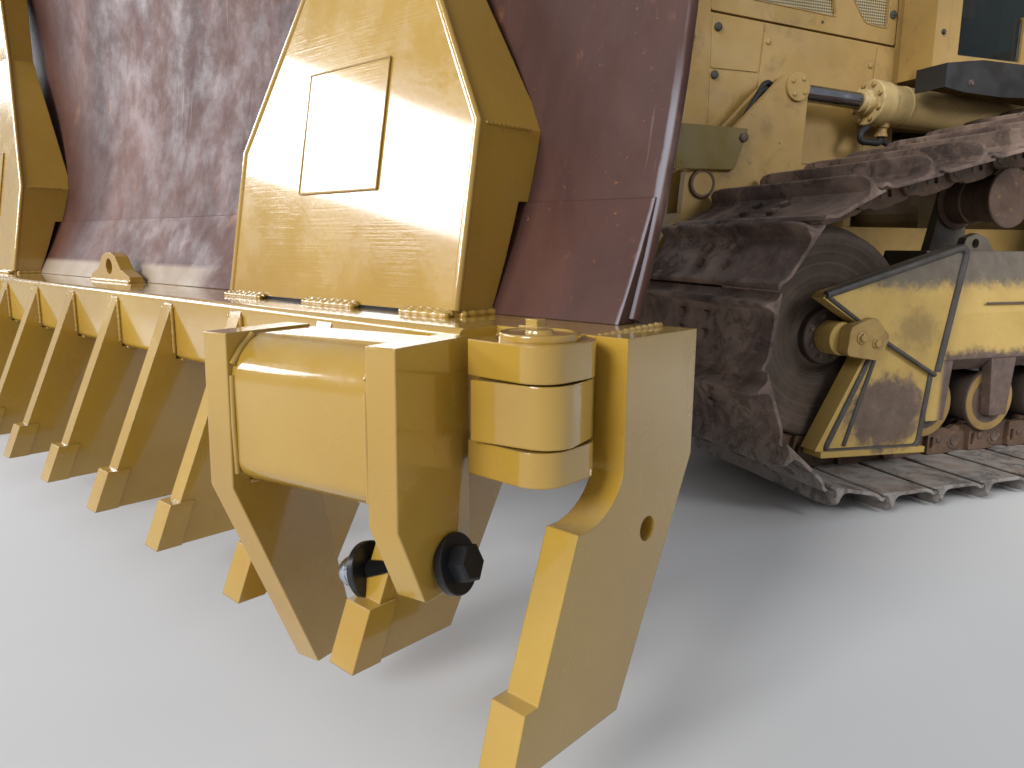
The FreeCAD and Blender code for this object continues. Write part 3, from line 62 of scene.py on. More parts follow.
# Metres. y runs rearward from the machine's zero line and z up from the ground.
# The drawbar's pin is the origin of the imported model.
DRAWBAR = Vector((0, 3.38, 0.48))
MACHINE = Matrix.Translation(-DRAWBAR)
BLADE_ANGLE = math.radians(28)
SWING_PIN = Vector((0, -1.59, 0))
BLADE = MACHINE @ Matrix.Translation(SWING_PIN) @ Matrix.Rotation(BLADE_ANGLE, 4, "Z")
RAKE_FRONT = -0.909
BEAM_TOP = 0.685
BEAM_FOOT = BEAM_TOP - 0.146
TOWER_MIDDLE = 1.254
TOWER_FRONT = RAKE_FRONT + 0.127
TOWER_LEAN = 0.17
X = Vector((1, 0, 0))
Y = Vector((0, 1, 0))
Z = Vector((0, 0, 1))


# Camera

def look(place, azimuth, elevation, roll, focal):
    data = bpy.data.cameras.new("camera")
    data.sensor_width = 36
    data.lens = 36 * focal / 1024
    data.clip_start = 0.05
    data.clip_end = 200
    camera = bpy.data.objects.new("camera", data)
    bpy.context.scene.collection.objects.link(camera)
    a, e = math.radians(azimuth), math.radians(elevation)
    back = Vector((math.sin(a) * math.cos(e), -math.cos(a) * math.cos(e), math.sin(e)))
    turn = (-back).to_track_quat("-Z", "Y").to_matrix().to_4x4()
    camera.matrix_world = Matrix.Translation(place) @ turn @ Matrix.Rotation(math.radians(roll), 4, "Z")
    bpy.context.scene.camera = camera


EYE = MACHINE @ Vector((3.0992, -1.8596, 0.8096))
look(EYE, 70.244, 10.371, 0.421, 760.05)


# Materials

def rgb(text):
    """A hex colour as linear values."""
    parts = [int(text[i:i + 2], 16) / 255 for i in (0, 2, 4)]
    return tuple(p / 12.92 if p <= 0.04045 else ((p + 0.055) / 1.055) ** 2.4 for p in parts)


class Shader:
    """Builds one node material on a Principled shader."""

    def __init__(self, name, edges=0.0):
        self.material = bpy.data.materials.new(name)
        self.material.use_nodes = True
        self.tree = self.material.node_tree
        self.bsdf = self.tree.nodes["Principled BSDF"]
        self.place = self.tree.nodes.new("ShaderNodeTexCoord").outputs["Object"]
        if edges:
            # softens the light on sharp edges, as paint and wear do
            soft = self.node("Bevel", samples=4)
            soft.inputs["Radius"].default_value = edges
            self.link(soft.outputs[0], self.bsdf.inputs["Normal"])

    def set(self, **values):
        for name, value in values.items():
            self.bsdf.inputs[name.replace("_", " ")].default_value = value
        return self

    def node(self, kind, **values):
        made = self.tree.nodes.new("ShaderNode" + kind)
        for name, value in values.items():
            setattr(made, name, value)
        return made

    def link(self, a, b):
        self.tree.links.new(a, b)

    def base(self, colour):
        self.link(colour, self.bsdf.inputs["Base Color"])

    def rough(self, value):
        self.link(value, self.bsdf.inputs["Roughness"])

    def mapped(self, scale=(1, 1, 1), turn=0.0, source=None):
        mapping = self.node("Mapping")
        mapping.inputs["Scale"].default_value = scale
        first = source or self.place
        if turn:
            rotate = self.node("VectorRotate", rotation_type="Z_AXIS")
            rotate.inputs["Center"].default_value = BLADE.translation
            rotate.inputs["Angle"].default_value = turn
            self.link(first, rotate.inputs["Vector"])
            first = rotate.outputs[0]
        self.link(first, mapping.inputs["Vector"])
        return mapping.outputs[0]

    def noise(self, scale, detail=6.0, rough=0.55, vector=None, distort=0.0):
        made = self.node("TexNoise")
        made.inputs["Scale"].default_value = scale
        made.inputs["Detail"].default_value = detail
        made.inputs["Roughness"].default_value = rough
        made.inputs["Distortion"].default_value = distort
        self.link(vector or self.place, made.inputs["Vector"])
        return made.outputs["Fac"]

    def ramp(self, value, *stops):
        made = self.node("ValToRGB")
        elements = made.color_ramp.elements
        while len(elements) < len(stops):
            elements.new(0.5)
        for element, (at, colour) in zip(elements, stops):
            element.position = at
            element.color = (*colour, 1)
        self.link(value, made.inputs["Fac"])
        return made.outputs["Color"]

    def curve(self, value, low, high, to_low=0.0, to_high=1.0):
        made = self.node("MapRange")
        made.interpolation_type = "SMOOTHSTEP"
        for name, number in (("From Min", low), ("From Max", high), ("To Min", to_low),
            ("To Max", to_high)):
            made.inputs[name].default_value = number
        self.link(value, made.inputs["Value"])
        return made.outputs[0]

    def math(self, operation, a, b=None):
        made = self.node("Math", operation=operation)
        for socket, value in zip(made.inputs, (a, b)):
            if value is None:
                continue
            if isinstance(value, (int, float)):
                socket.default_value = value
            else:
                self.link(value, socket)
        return made.outputs[0]

    def mix(self, factor, a, b, blend="MIX"):
        made = self.node("Mix", data_type="RGBA", blend_type=blend)
        for socket, value in ((made.inputs[0], factor), (made.inputs[6], a), (made.inputs[7], b)):
            if isinstance(value, (int, float)):
                socket.default_value = value
            elif isinstance(value, tuple):
                socket.default_value = (*value, 1)
            else:
                self.link(value, socket)
        return made.outputs[2]

    def times(self, a, b):
        return self.math("MULTIPLY", a, b)

    def plus(self, a, b):
        return self.math("ADD", a, b)

    def less(self, a, b):
        return self.math("SUBTRACT", a, b)

    def bump(self, height, strength, distance=0.002):
        made = self.node("Bump")
        made.inputs["Strength"].default_value = strength
        made.inputs["Distance"].default_value = distance
        self.link(height, made.inputs["Height"])
        previous = self.bsdf.inputs["Normal"]
        if previous.is_linked:
            self.link(previous.links[0].from_socket, made.inputs["Normal"])
        self.link(made.outputs[0], previous)
        return self

    def axis(self, index, source=None):
        made = self.node("SeparateXYZ")
        self.link(source or self.place, made.inputs[0])
        return made.outputs[index]

    def joined(self, x, y, z):
        made = self.node("CombineXYZ")
        for i, part in enumerate((x, y, z)):
            self.link(part, made.inputs[i])
        return made.outputs[0]

    def facing(self, index):
        return self.axis(index, self.node("NewGeometry").outputs["Normal"])

    def height(self):
        """Height above the ground."""
        return self.math("ADD", self.axis(2), DRAWBAR.z)

    def spot(self, y, z, reach_y, reach_z, ragged=0.6, soft=0.45):
        """One near a place on a side face, fading to nought at its reach with a ragged border."""
        across = self.math("DIVIDE", self.math("SUBTRACT", self.axis(1), y - DRAWBAR.y), reach_y)
        up = self.math("DIVIDE", self.math("SUBTRACT", self.height(), z), reach_z)
        away = self.math("SQRT", self.math("ADD", self.math("POWER", across, 2.0),
            self.math("POWER", up, 2.0)))
        border = self.math("MULTIPLY", self.math("SUBTRACT", self.noise(26, 8, 0.7), 0.5), 2 * ragged)
        return self.curve(self.math("ADD", away, border), 1.0, 1.0 - soft)


def new_paint(name="new_paint", line=True):
    """Fresh golden gloss with orange peel and the flame-cut lines of thick plates' edges."""
    s = Shader(name, 0.004)
    tone = s.noise(2.3, 5)
    colour = s.ramp(tone, (0.3, rgb("aa832d")), (0.55, rgb("b58f35")), (0.75, rgb("be9b45")))
    dust = s.curve(s.noise(7, 8, 0.65), 0.5, 0.75)
    colour = s.mix(s.times(dust, 0.2), colour, rgb("b3935a"))
    lying = s.times(s.curve(s.facing(2), 0.6, 0.95), s.curve(s.noise(13, 9, 0.7), 0.3, 0.7))
    colour = s.mix(s.times(lying, 0.55), colour, rgb("b8a27a"))
    scuff = s.times(s.curve(s.noise(31, 9, 0.75), 0.66, 0.7), s.curve(s.noise(2.7, 3), 0.5, 0.62))
    colour = s.mix(scuff, colour, rgb("5c4a2c"))
    s.base(colour)
    s.rough(s.curve(s.noise(11, 6, 0.6), 0.35, 0.75, 0.16, 0.36))
    s.bump(s.noise(75, 2, 0.4), 0.1, 0.003)
    if line:
        cut = s.noise(210, 3, 0.55, s.mapped((0.02, 0.5, 1.0), -BLADE_ANGLE))
        gate = s.curve(s.noise(5, 4), 0.45, 0.6)
        s.bump(s.times(cut, gate), 0.3, 0.0012)
    s.set(Coat_Weight=1.0, Coat_Roughness=0.07, Coat_IOR=1.6, IOR=1.5)
    return s.material


def old_paint(name="old_paint", tones=("7d6334", "9b7c42", "ab8c50"), spots=(), dirt=0.6, low=None):
    """Dull machine yellow with dust on what faces up, grime, chips and worn spots."""
    s = Shader(name, 0.003)
    colour = s.ramp(s.noise(1.7, 8, 0.6), *[(at, rgb(tone)) for at, tone in zip((0.25, 0.5, 0.75), tones)])
    grime = s.curve(s.noise(5.5, 10, 0.72, distort=0.4), 0.5, 0.74)
    colour = s.mix(s.times(grime, dirt), colour, rgb("4a3c26"))
    dust = s.times(s.curve(s.facing(2), 0.3, 0.95), s.curve(s.noise(9, 8, 0.7), 0.3, 0.65))
    colour = s.mix(s.times(dust, 0.7), colour, rgb("86745a"))
    for y, z, reach_y, reach_z, tint, strength in spots:
        colour = s.mix(s.times(s.spot(y, z, reach_y, reach_z), strength), colour, rgb(tint))
    if low:
        level, tint = low
        border = s.times(s.less(s.noise(14, 8, 0.7), 0.5), 0.16)
        colour = s.mix(s.curve(s.plus(s.height(), border), level + 0.03, level - 0.03), colour, rgb(tint))
    chip = s.curve(s.noise(38, 6, 0.7), 0.68, 0.71)
    colour = s.mix(chip, colour, rgb("3c2e1e"))
    s.base(colour)
    s.rough(s.curve(s.noise(8, 8, 0.6), 0.3, 0.7, 0.38, 0.7))
    s.bump(s.noise(180, 5, 0.7), 0.15, 0.001)
    return s.material


def beam_paint():
    """Track frames: yellow sides, a grey-black top that is painted shade for the shaded top face, dark
    bands along the creases and rust below.
    """
    s = Shader("track_frame_paint", 0.004)
    colour = s.ramp(s.noise(3.1, 8, 0.6), (0.25, rgb("a08242")), (0.5, rgb("b29450")),
        (0.75, rgb("bfa05c")))
    scratch = s.curve(s.noise(60, 7, 0.75, s.mapped((1, 1.6, 0.8))), 0.6, 0.68)
    colour = s.mix(s.times(scratch, 0.6), colour, rgb("6b5634"))
    rag = s.times(s.less(s.noise(22, 9, 0.72), 0.5), 0.12)
    level = s.plus(s.height(), rag)
    # painted shade: the top face, which lies in shade, painted grey-black
    grey_top_shade = s.ramp(s.noise(17, 9, 0.7), (0.3, rgb("3c3734")), (0.6, rgb("57524e")), (0.8, rgb("6e6862")))
    top = s.curve(level, 0.66, 0.71)
    colour = s.mix(s.times(top, 0.9), colour, grey_top_shade)
    rust = s.ramp(s.noise(19, 9, 0.7), (0.3, rgb("453730")), (0.55, rgb("5d4b42")), (0.8, rgb("77645a")))
    behind = s.curve(s.axis(1), 0.40 - DRAWBAR.y, 0.43 - DRAWBAR.y)
    colour = s.mix(s.times(s.curve(level, 0.475, 0.435), behind), colour, rust)
    cone = s.spot(0.15, 0.27, 0.2, 0.15, 0.45, 0.35)
    colour = s.mix(s.times(cone, 0.95), colour, rust)
    rubbed = s.spot(0.234, 0.541, 0.13, 0.1, 0.8, 0.8)
    colour = s.mix(s.times(rubbed, 0.55), colour, rgb("5e4c30"))
    s.base(colour)
    s.rough(s.curve(s.noise(9, 8, 0.65), 0.3, 0.7, 0.42, 0.75))
    s.bump(s.noise(120, 7, 0.7), 0.3, 0.0012)
    return s.material


def rusted(name, stops, flecks, fleck_at=0.66, rough=(0.55, 0.9), low=None, bump=0.4, crust=False):
    """Rust in patches, flecks, paler dust near the ground, and on the shoes dark crust and scrapes."""
    s = Shader(name, 0.003)
    colour = s.ramp(s.noise(4.3, 10, 0.68, distort=0.6), *[(at, rgb(c)) for at, c in stops])
    fleck = s.curve(s.noise(46, 8, 0.75), fleck_at, fleck_at + 0.06)
    colour = s.mix(s.times(fleck, 0.7), colour, rgb(flecks))
    if low:
        level, tint = low
        dusty = s.times(s.curve(s.height(), level + 0.12, level - 0.05),
            s.curve(s.noise(15, 8, 0.7), 0.25, 0.6))
        colour = s.mix(s.times(dusty, 0.85), colour, rgb(tint))
    if crust:
        gate = s.curve(s.noise(3.1, 6, 0.6), 0.4, 0.56)
        cake = s.times(s.curve(s.noise(12, 12, 0.78, distort=0.8), 0.5, 0.55), gate)
        colour = s.mix(s.times(cake, 0.55), colour, rgb("332b27"))
        scrape = s.curve(s.noise(55, 9, 0.8, s.mapped((0.3, 1, 1))), 0.58, 0.66)
        colour = s.mix(s.times(scrape, 0.45), colour, rgb("b39e8b"))
        s.bump(cake, 0.5, 0.003)
    s.base(colour)
    s.rough(s.curve(s.noise(12, 8, 0.7), 0.3, 0.7, *rough))
    s.bump(s.noise(70, 10, 0.75), bump, 0.002)
    s.set(Metallic=0.15)
    return s.material


def blade_rust(name="blade_rust", foot=False):
    """Moldboard: brown rust, orange flecks, long scratches and a painted highlight down the near end; a
    paler foot if asked.
    """
    s = Shader(name, 0.004)
    square = s.mapped((1, 1, 1), -BLADE_ANGLE)
    tone = s.noise(2.6, 9, 0.62, s.mapped((1.2, 1, 0.5), -BLADE_ANGLE), 0.5)
    colour = s.ramp(tone, (0.2, rgb("351f1a")), (0.45, rgb("4b2e26")), (0.62, rgb("5d3b2f")),
        (0.8, rgb("70493a")))
    patch = s.curve(s.noise(11, 9, 0.75, s.mapped((1, 1, 0.6), -BLADE_ANGLE)), 0.58, 0.72)
    colour = s.mix(s.times(patch, 0.55), colour, rgb("8a5a38"))
    fleck = s.times(s.curve(s.noise(75, 8, 0.75), 0.62, 0.68), s.curve(s.noise(5, 5), 0.45, 0.6))
    colour = s.mix(s.times(fleck, 0.75), colour, rgb("a5683a"))
    lines = s.curve(s.noise(70, 3, 0.5, s.mapped((1.0, 0.1, 0.015), -BLADE_ANGLE)), 0.66, 0.7)
    gate = s.curve(s.noise(3, 4), 0.48, 0.62)
    colour = s.mix(s.times(s.times(lines, gate), 0.35), colour, rgb("9a857a"))
    bright = s.less(s.axis(0, square), BLADE.translation.x)
    rag = s.times(s.less(s.noise(9, 8, 0.7), 0.5), 0.012)
    # painted highlight: a bluish-grey strip on the lower front of the near end, standing for light caught
    # along that edge
    painted_highlight = s.times(s.curve(s.plus(bright, rag), 1.917, 1.923), s.curve(s.height(), 1.15, 1.0))
    painted_highlight = s.times(painted_highlight, s.curve(s.facing(1), -0.3, -0.6))
    colour = s.mix(s.times(painted_highlight, 0.6), colour, rgb("9a97a0"))
    if foot:
        band = s.times(s.curve(s.height(), 0.75, 0.73), s.curve(bright, 0.6, 0.4))
        colour = s.mix(s.times(band, 0.85), colour, rgb("a3927c"))
    s.base(colour)
    s.rough(s.curve(s.noise(7, 8, 0.7), 0.3, 0.7, 0.42, 0.68))
    s.bump(s.noise(90, 8, 0.75), 0.22, 0.0015)
    s.set(Metallic=0.0, Specular_IOR_Level=0.3)
    return s.material


def plain(name, colour, rough=0.5, metal=0.0, bump=0.1, scale=90.0, spread=0.3):
    """A tone that varies a little, with a fine grain."""
    s = Shader(name)
    base = rgb(colour)
    dark = tuple(c * (1 - spread) for c in base)
    light = tuple(min(1, c * (1 + spread)) for c in base)
    s.base(s.ramp(s.noise(6, 8, 0.65), (0.3, dark), (0.7, light)))
    s.rough(s.curve(s.noise(14, 6, 0.6), 0.3, 0.7, max(0.05, rough - 0.1), min(1, rough + 0.12)))
    s.bump(s.noise(scale, 5, 0.6), bump, 0.001)
    s.set(Metallic=metal)
    return s.material


def turned_steel():
    """Idler webs: dark brown steel with fine turning marks about the front axle."""
    s = Shader("turned_steel")
    colour = s.ramp(s.noise(5, 9, 0.7), (0.25, rgb("33281f")), (0.5, rgb("4c3e34")), (0.75, rgb("67574a")))
    across = s.axis(0)
    up = s.less(s.height(), FRONT_AXLE[1])
    along = s.less(s.axis(1), FRONT_AXLE[0] - DRAWBAR.y)
    reach = s.math("SQRT", s.plus(s.math("POWER", along, 2.0), s.math("POWER", up, 2.0)))
    marks = s.noise(1.0, 6, 0.8, s.joined(s.times(reach, 85.0), across, across))
    colour = s.mix(s.times(s.curve(marks, 0.48, 0.66), 0.45), colour, rgb("7f6c5d"))
    s.base(colour)
    s.rough(s.curve(s.noise(9, 8, 0.7), 0.3, 0.7, 0.4, 0.7))
    s.bump(s.noise(60, 8, 0.7), 0.2, 0.0015)
    s.bump(marks, 0.4, 0.0015)
    s.set(Metallic=0.3)
    return s.material


def screen():
    """Perforated sheet: rows of small dark holes."""
    s = Shader("perforated_sheet")
    wide = s.math("FRACT", s.times(s.axis(1), 90.0))
    tall = s.math("FRACT", s.times(s.axis(2), 90.0))
    dy, dz = s.less(wide, 0.5), s.less(tall, 0.5)
    away = s.math("SQRT", s.plus(s.math("POWER", dy, 2.0), s.math("POWER", dz, 2.0)))
    hole = s.curve(away, 0.4, 0.3)
    sheet = s.ramp(s.noise(5, 7), (0.3, rgb("93825a")), (0.7, rgb("a8966c")))
    s.base(s.mix(hole, sheet, rgb("15120e")))
    s.rough(s.curve(s.noise(9, 5), 0.3, 0.7, 0.45, 0.65))
    s.bump(away, 0.3, 0.002)
    return s.material


def glass():
    s = Shader("tinted_glass")
    s.base(s.ramp(s.noise(3, 5), (0.3, rgb("1b2122")), (0.7, rgb("262d2d"))))
    s.rough(s.curve(s.noise(4, 6), 0.3, 0.8, 0.03, 0.14))
    s.set(Alpha=0.5, IOR=1.45)
    return s.material


RUST_STEPS = ((0.28, "352a25"), (0.44, "66534a"), (0.58, "8a7466"), (0.76, "ab9585"))
M = {
    "gold": new_paint(),
    "weld": new_paint("weld_paint", False),
    "yellow": old_paint(),
    "olive": old_paint("olive_paint", ("5a4a10", "685613", "74611c"), dirt=0.3),
    "pale": old_paint("pale_paint", ("a08a5c", "b59c68", "c4ad7c"), dirt=0.75),
    "frame": beam_paint(),
    "rusty": blade_rust(),
    "worn_steel": rusted("track_rust", RUST_STEPS, "8f6a50", 0.62, low=(0.16, "98948f"), crust=True),
    "edge": blade_rust("edge_rust", True),
    "link": rusted("link_rust", ((0.2, "33261f"), (0.5, "584335"), (0.8, "775c4a")), "96703c", 0.58),
    "steel": plain("dusty_steel", "5b4c42", 0.62, 0.3, 0.3),
    "cast": plain("cast_iron", "3a3835", 0.6, 0.4, 0.3),
    "exhaust": rusted("exhaust_rust", ((0.2, "2a211c"), (0.5, "4b3325"), (0.8, "6b4329")), "8a5a33"),
    "black": plain("black_paint", "191a1d", 0.38, 0.0, 0.12),
    "dark_grey": plain("dark_paint", "33322f", 0.55, 0.0, 0.15),
    "chrome": plain("polished_rod", "8b8d92", 0.18, 1.0, 0.03, 200, 0.12),
    "zinc": plain("bright_zinc", "c3ccd6", 0.3, 1.0, 0.1, 200, 0.15),
    "glass": glass(),
    "lamp": plain("lamp_lens", "c9ccc8", 0.12, 0.0, 0.05),
    "seat": plain("seat_vinyl", "1c1c1d", 0.6, 0.0, 0.25, 400),
    "rubber": plain("rubber", "121211", 0.65, 0.0, 0.2),
    "screen": screen(),
    "bead_steel": rusted("guard_edges", ((0.2, "2b2623"), (0.5, "45403c"), (0.8, "615a54")), "8c7443",
        0.62, (0.4, 0.7)),
}

for entry in frame["record"]["subparts"]:
    shown = frame["nodes"].get(entry["node"])
    if shown is None:
        continue
    slot = entry["material_slot"]
    if entry["node"].startswith("track_frame"):
        slot = "frame"
    if entry["node"].startswith("lift_barrel"):
        slot = "pale"
    shown.data.materials.clear()
    shown.data.materials.append(M[slot])


# Making pieces

class Piece:
    """Gathers one piece's geometry in metres of the machine or of the square blade."""

    def __init__(self, name, body, material, place=MACHINE):
        self.name = name
        self.body = body
        self.material = M[material]
        self.place = place
        self.points = []
        self.faces = []

    def add(self, points, faces):
        first = len(self.points)
        self.points.extend(self.place @ Vector(p) for p in points)
        self.faces.extend([first + i for i in face] for face in faces)

    def plate(self, loops, across, a, b):
        """A plate between a and b along an axis; loops are its outline and holes in the other two axes."""
        corners = [p for loop in loops for p in loop]
        count = len(corners)
        if len(loops) == 1:
            caps = [tuple(range(count))]
        else:
            caps = [tuple(t) for t in tessellate_polygon(
                [[Vector((u, v, 0)) for u, v in loop] for loop in loops])]
        faces = caps + [tuple(count + i for i in reversed(cap)) for cap in caps]
        first = 0
        for loop in loops:
            for i in range(len(loop)):
                j = (i + 1) % len(loop)
                faces.append((first + i, first + j, count + first + j, count + first + i))
            first += len(loop)
        put = {"x": lambda u, v, t: (t, u, v), "y": lambda u, v, t: (u, t, v), "z": lambda u, v,
            t: (u, v, t)}[across]
        self.add([put(u, v, t) for t in (a, b) for u, v in corners], faces)

    def box(self, x0, x1, y0, y1, z0, z1):
        self.plate([[(y0, z0), (y1, z0), (y1, z1), (y0, z1)]], "x", x0, x1)

    def loft(self, sections):
        """Joins sections of as many points each and closes both ends."""
        count = len(sections[0])
        faces = [tuple(range(count)), tuple((len(sections) - 1) * count + i for i in range(count))]
        for k in range(len(sections) - 1):
            for i in range(count):
                j = (i + 1) % count
                faces.append((k * count + i, k * count + j, (k + 1) * count + j, (k + 1) * count + i))
        self.add([p for section in sections for p in section], faces)

    def turned(self, profile, centre, way, count=40):
        """Turns (along, radius) points about the line from the centre along the way."""
        centre, way = Vector(centre), Vector(way).normalized()
        side = way.orthogonal().normalized()
        up = way.cross(side)
        sections = []
        for t, r in profile:
            angles = [2 * math.pi * i / count for i in range(count)]
            sections.append([centre + way * t + (side * math.cos(a) + up * math.sin(a)) * r
                for a in angles])
        self.loft(sections)

    def bolt(self, at, way, size=0.012):
        """A hexagon head on a washer."""
        self.turned([(-0.001, size * 1.5), (size * 0.25, size * 1.5), (size * 0.3, size * 1.4)], at, way,
            20)
        self.turned([(0, size * 1.05), (size * 0.85, size * 1.05), (size, size * 0.85)], at, way, 6)

    def button(self, at, way, size=0.012):
        """A domed round head."""
        self.turned([(-0.001, size), (size * 0.3, size), (size * 0.5, size * 0.75),
            (size * 0.58, size * 0.3)], at, way, 18)

    def tube(self, path, radius, count=10, radii=None):
        path = [Vector(p) for p in path]
        side = None
        sections = []
        for i, p in enumerate(path):
            ahead = (path[min(i + 1, len(path) - 1)] - path[max(i - 1, 0)]).normalized()
            side = side or ahead.orthogonal()
            side = (side - ahead * side.dot(ahead)).normalized()
            up = ahead.cross(side)
            r = radii[i] if radii else radius
            angles = [2 * math.pi * k / count for k in range(count)]
            sections.append([p + (side * math.cos(a) + up * math.sin(a)) * r for a in angles])
        self.loft(sections)

    def bead(self, path, radius=0.007):
        """A weld bead: short overlapping swells along a path of straight stretches."""
        step = radius * 0.75
        points = []
        for a, b in zip(path, path[1:]):
            a, b = Vector(a), Vector(b)
            count = max(2, int((b - a).length / step))
            points.extend(a.lerp(b, i / count) for i in range(count))
        points.append(Vector(path[-1]))
        radii = [radius * (0.86 + 0.16 * math.sin(i * 1.7) + dice.uniform(-0.07, 0.07))
            for i in range(len(points))]
        radii[0] = radii[-1] = radius * 0.4
        self.tube(points, radius, 7, radii)

    def done(self, smooth=32, bevel=0.0, segments=2):
        mesh = bpy.data.meshes.new(self.name)
        mesh.from_pydata(self.points, [], self.faces)
        work = bmesh.new()
        work.from_mesh(mesh)
        bmesh.ops.recalc_face_normals(work, faces=work.faces)
        work.to_mesh(mesh)
        work.free()
        mesh.polygons.foreach_set("use_smooth", [True] * len(mesh.polygons))
        mesh.set_sharp_from_angle(angle=math.radians(smooth))
        mesh.materials.append(self.material)
        made = bpy.data.objects.new(self.name, mesh)
        bpy.context.scene.collection.objects.link(made)
        if bevel:
            edge = made.modifiers.new("bevel", "BEVEL")
            edge.width = bevel
            edge.segments = segments
            edge.limit_method = "ANGLE"
            edge.angle_limit = math.radians(38)
        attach(made, self.body)
        return made


def rounded(points, radius, steps=4):
    """An outline with its corners turned into arcs' chords."""
    found = []
    count = len(points)
    for i, p in enumerate(points):
        p = Vector(p)
        before, after = Vector(points[i - 1]) - p, Vector(points[(i + 1) % count]) - p
        r = min(radius, before.length * 0.45, after.length * 0.45)
        a, b = p + before.normalized() * r, p + after.normalized() * r
        for k in range(steps + 1):
            t = k / steps
            found.append(tuple(a * (1 - t) ** 2 + p * 2 * t * (1 - t) + b * t ** 2))
    return found


def bent(points, radius, steps=6):
    """A path through straight stretches with its corners rounded off."""
    found = [Vector(points[0])]
    for before, p, after in zip(points, points[1:], points[2:]):
        before, p, after = Vector(before), Vector(p), Vector(after)
        r = min(radius, (before - p).length * 0.48, (after - p).length * 0.48)
        a, b = p + (before - p).normalized() * r, p + (after - p).normalized() * r
        for k in range(steps + 1):
            t = k / steps
            found.append(a * (1 - t) ** 2 + p * 2 * t * (1 - t) + b * t ** 2)
    return found + [Vector(points[-1])]


def ring(count, radius, phase=0.0):
    return [(radius * math.cos(2 * math.pi * (i + phase) / count),
        radius * math.sin(2 * math.pi * (i + phase) / count)) for i in range(count)]


# Tracks

TRACK_X = 1.016
SHOE_WIDTH = 0.76
PITCH = 0.203
GROUND_TO_PIN = 0.119
IDLER_TREAD = 0.34
RAIL_DEPTH = 0.05
FIT = 0.0003
PIN_RADIUS = math.hypot(IDLER_TREAD + RAIL_DEPTH + FIT, PITCH / 2)
FRONT_AXLE = (-0.05, PIN_RADIUS + GROUND_TO_PIN)
REAR_AXLE = (2.972, FRONT_AXLE[1])
SPROCKET = (2.2, FRONT_AXLE[1] + 0.57)
CHAIN_PHASE = 0.02
RAIL_MIDDLE = 0.068


def chain_pins():
    """Pin centres, evenly spaced round the three wheels."""
    wheels = (FRONT_AXLE, REAR_AXLE, SPROCKET)
    runs = []
    for i, (y0, z0) in enumerate(wheels):
        y1, z1 = wheels[(i + 1) % 3]
        out = math.atan2(z1 - z0, y1 - y0) - math.pi / 2
        oy, oz = PIN_RADIUS * math.cos(out), PIN_RADIUS * math.sin(out)
        runs.append(((y0 + oy, z0 + oz), (y1 + oy, z1 + oz), out))
    stretches = []
    for i, (start, end, out) in enumerate(runs):
        stretches.append((math.dist(start, end), start, end, None))
        turn = (runs[(i + 1) % 3][2] - out) % (2 * math.pi)
        stretches.append((turn * PIN_RADIUS, wheels[(i + 1) % 3], None, out))
    length = sum(s[0] for s in stretches)
    count = round(length / PITCH)
    pins = []
    for i in range(count):
        along = CHAIN_PHASE + length * i / count
        for reach, a, b, out in stretches:
            if along <= reach:
                break
            along -= reach
        if b:
            t = along / reach
            pins.append((a[0] + t * (b[0] - a[0]), a[1] + t * (b[1] - a[1])))
        else:
            angle = out + along / PIN_RADIUS
            pins.append((a[0] + PIN_RADIUS * math.cos(angle), a[1] + PIN_RADIUS * math.sin(angle)))
    return pins


def chain_links():
    """Each link's first pin, its direction and its outward direction."""
    pins = chain_pins()
    found = []
    for (y, z), (y1, z1) in zip(pins, pins[1:] + pins[:1]):
        length = math.hypot(y1 - y, z1 - z)
        uy, uz = (y1 - y) / length, (z1 - z) / length
        found.append(((y, z), (uy, uz), (uz, -uy)))
    return found


def shoe_profile(reach):
    """Along the shoe and out from the pins: hooked edges that overlap the next shoe's, and the grouser."""
    tip = 0.06 + 0.059 * reach
    return [
        (-0.012, 0.046), (-0.013, 0.052), (0.002, 0.055), (0.009, 0.061), (0.0145, 0.070),
        (0.018, tip - 0.012), (0.0215, tip - 0.001),
        (0.026, tip), (0.0315, tip - 0.002), (0.0345, tip - 0.014), (0.039, 0.070), (0.046, 0.0625),
        (0.060, 0.059), (0.158, 0.059),
        (0.176, 0.0625), (0.190, 0.0715), (0.202, 0.0725), (0.211, 0.064), (0.210, 0.0575), (0.204, 0.062),
        (0.193, 0.061),
        (0.180, 0.0535), (0.160, 0.0475), (0.020, 0.0465)]


def track(side):
    name = "left" if side > 0 else "right"
    shoes = Piece("shoes_" + name, "chassis", "worn_steel")
    chain = Piece("links_" + name, "chassis", "link")
    pins = Piece("pins_" + name, "chassis", "steel")
    start = TRACK_X - SHOE_WIDTH / 2
    for (y, z), (uy, uz), (ny, nz) in chain_links():

        def at(x, a, b):
            return (side * x, y + a * uy + b * ny, z + a * uz + b * nz)

        wear = dice.uniform(0.92, 1.0)
        sections = []
        for along, reach in ((0, 0.62), (0.006, 0.74), (0.022, 0.9), (0.07, 1), (0.38, 0.98), (0.69, 1),
            (0.738, 0.9), (0.754, 0.74), (0.76, 0.62)):
            inset = 0.006 if along in (0, 0.76) else 0
            sections.append([at(start + along, min(a, 0.212 - inset), b) for a,
                b in shoe_profile(reach * wear)])
        shoes.loft(sections)
        out = Vector((0, ny, nz))
        for x in (TRACK_X - RAIL_MIDDLE, TRACK_X + RAIL_MIDDLE):
            for a in (0.078, 0.134):
                shoes.turned([(0, 0.017), (0.012, 0.017), (0.014, 0.014)], at(x, a, 0.059), out, 6)
        for way in (-1, 1):
            link(chain, pins, at, way)
    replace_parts(shoes.done(30, 0.0015, 1), "track_shoes_" + name)
    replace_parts(chain.done(35, 0.0025, 2), "track_chain_" + name)
    pins.done()


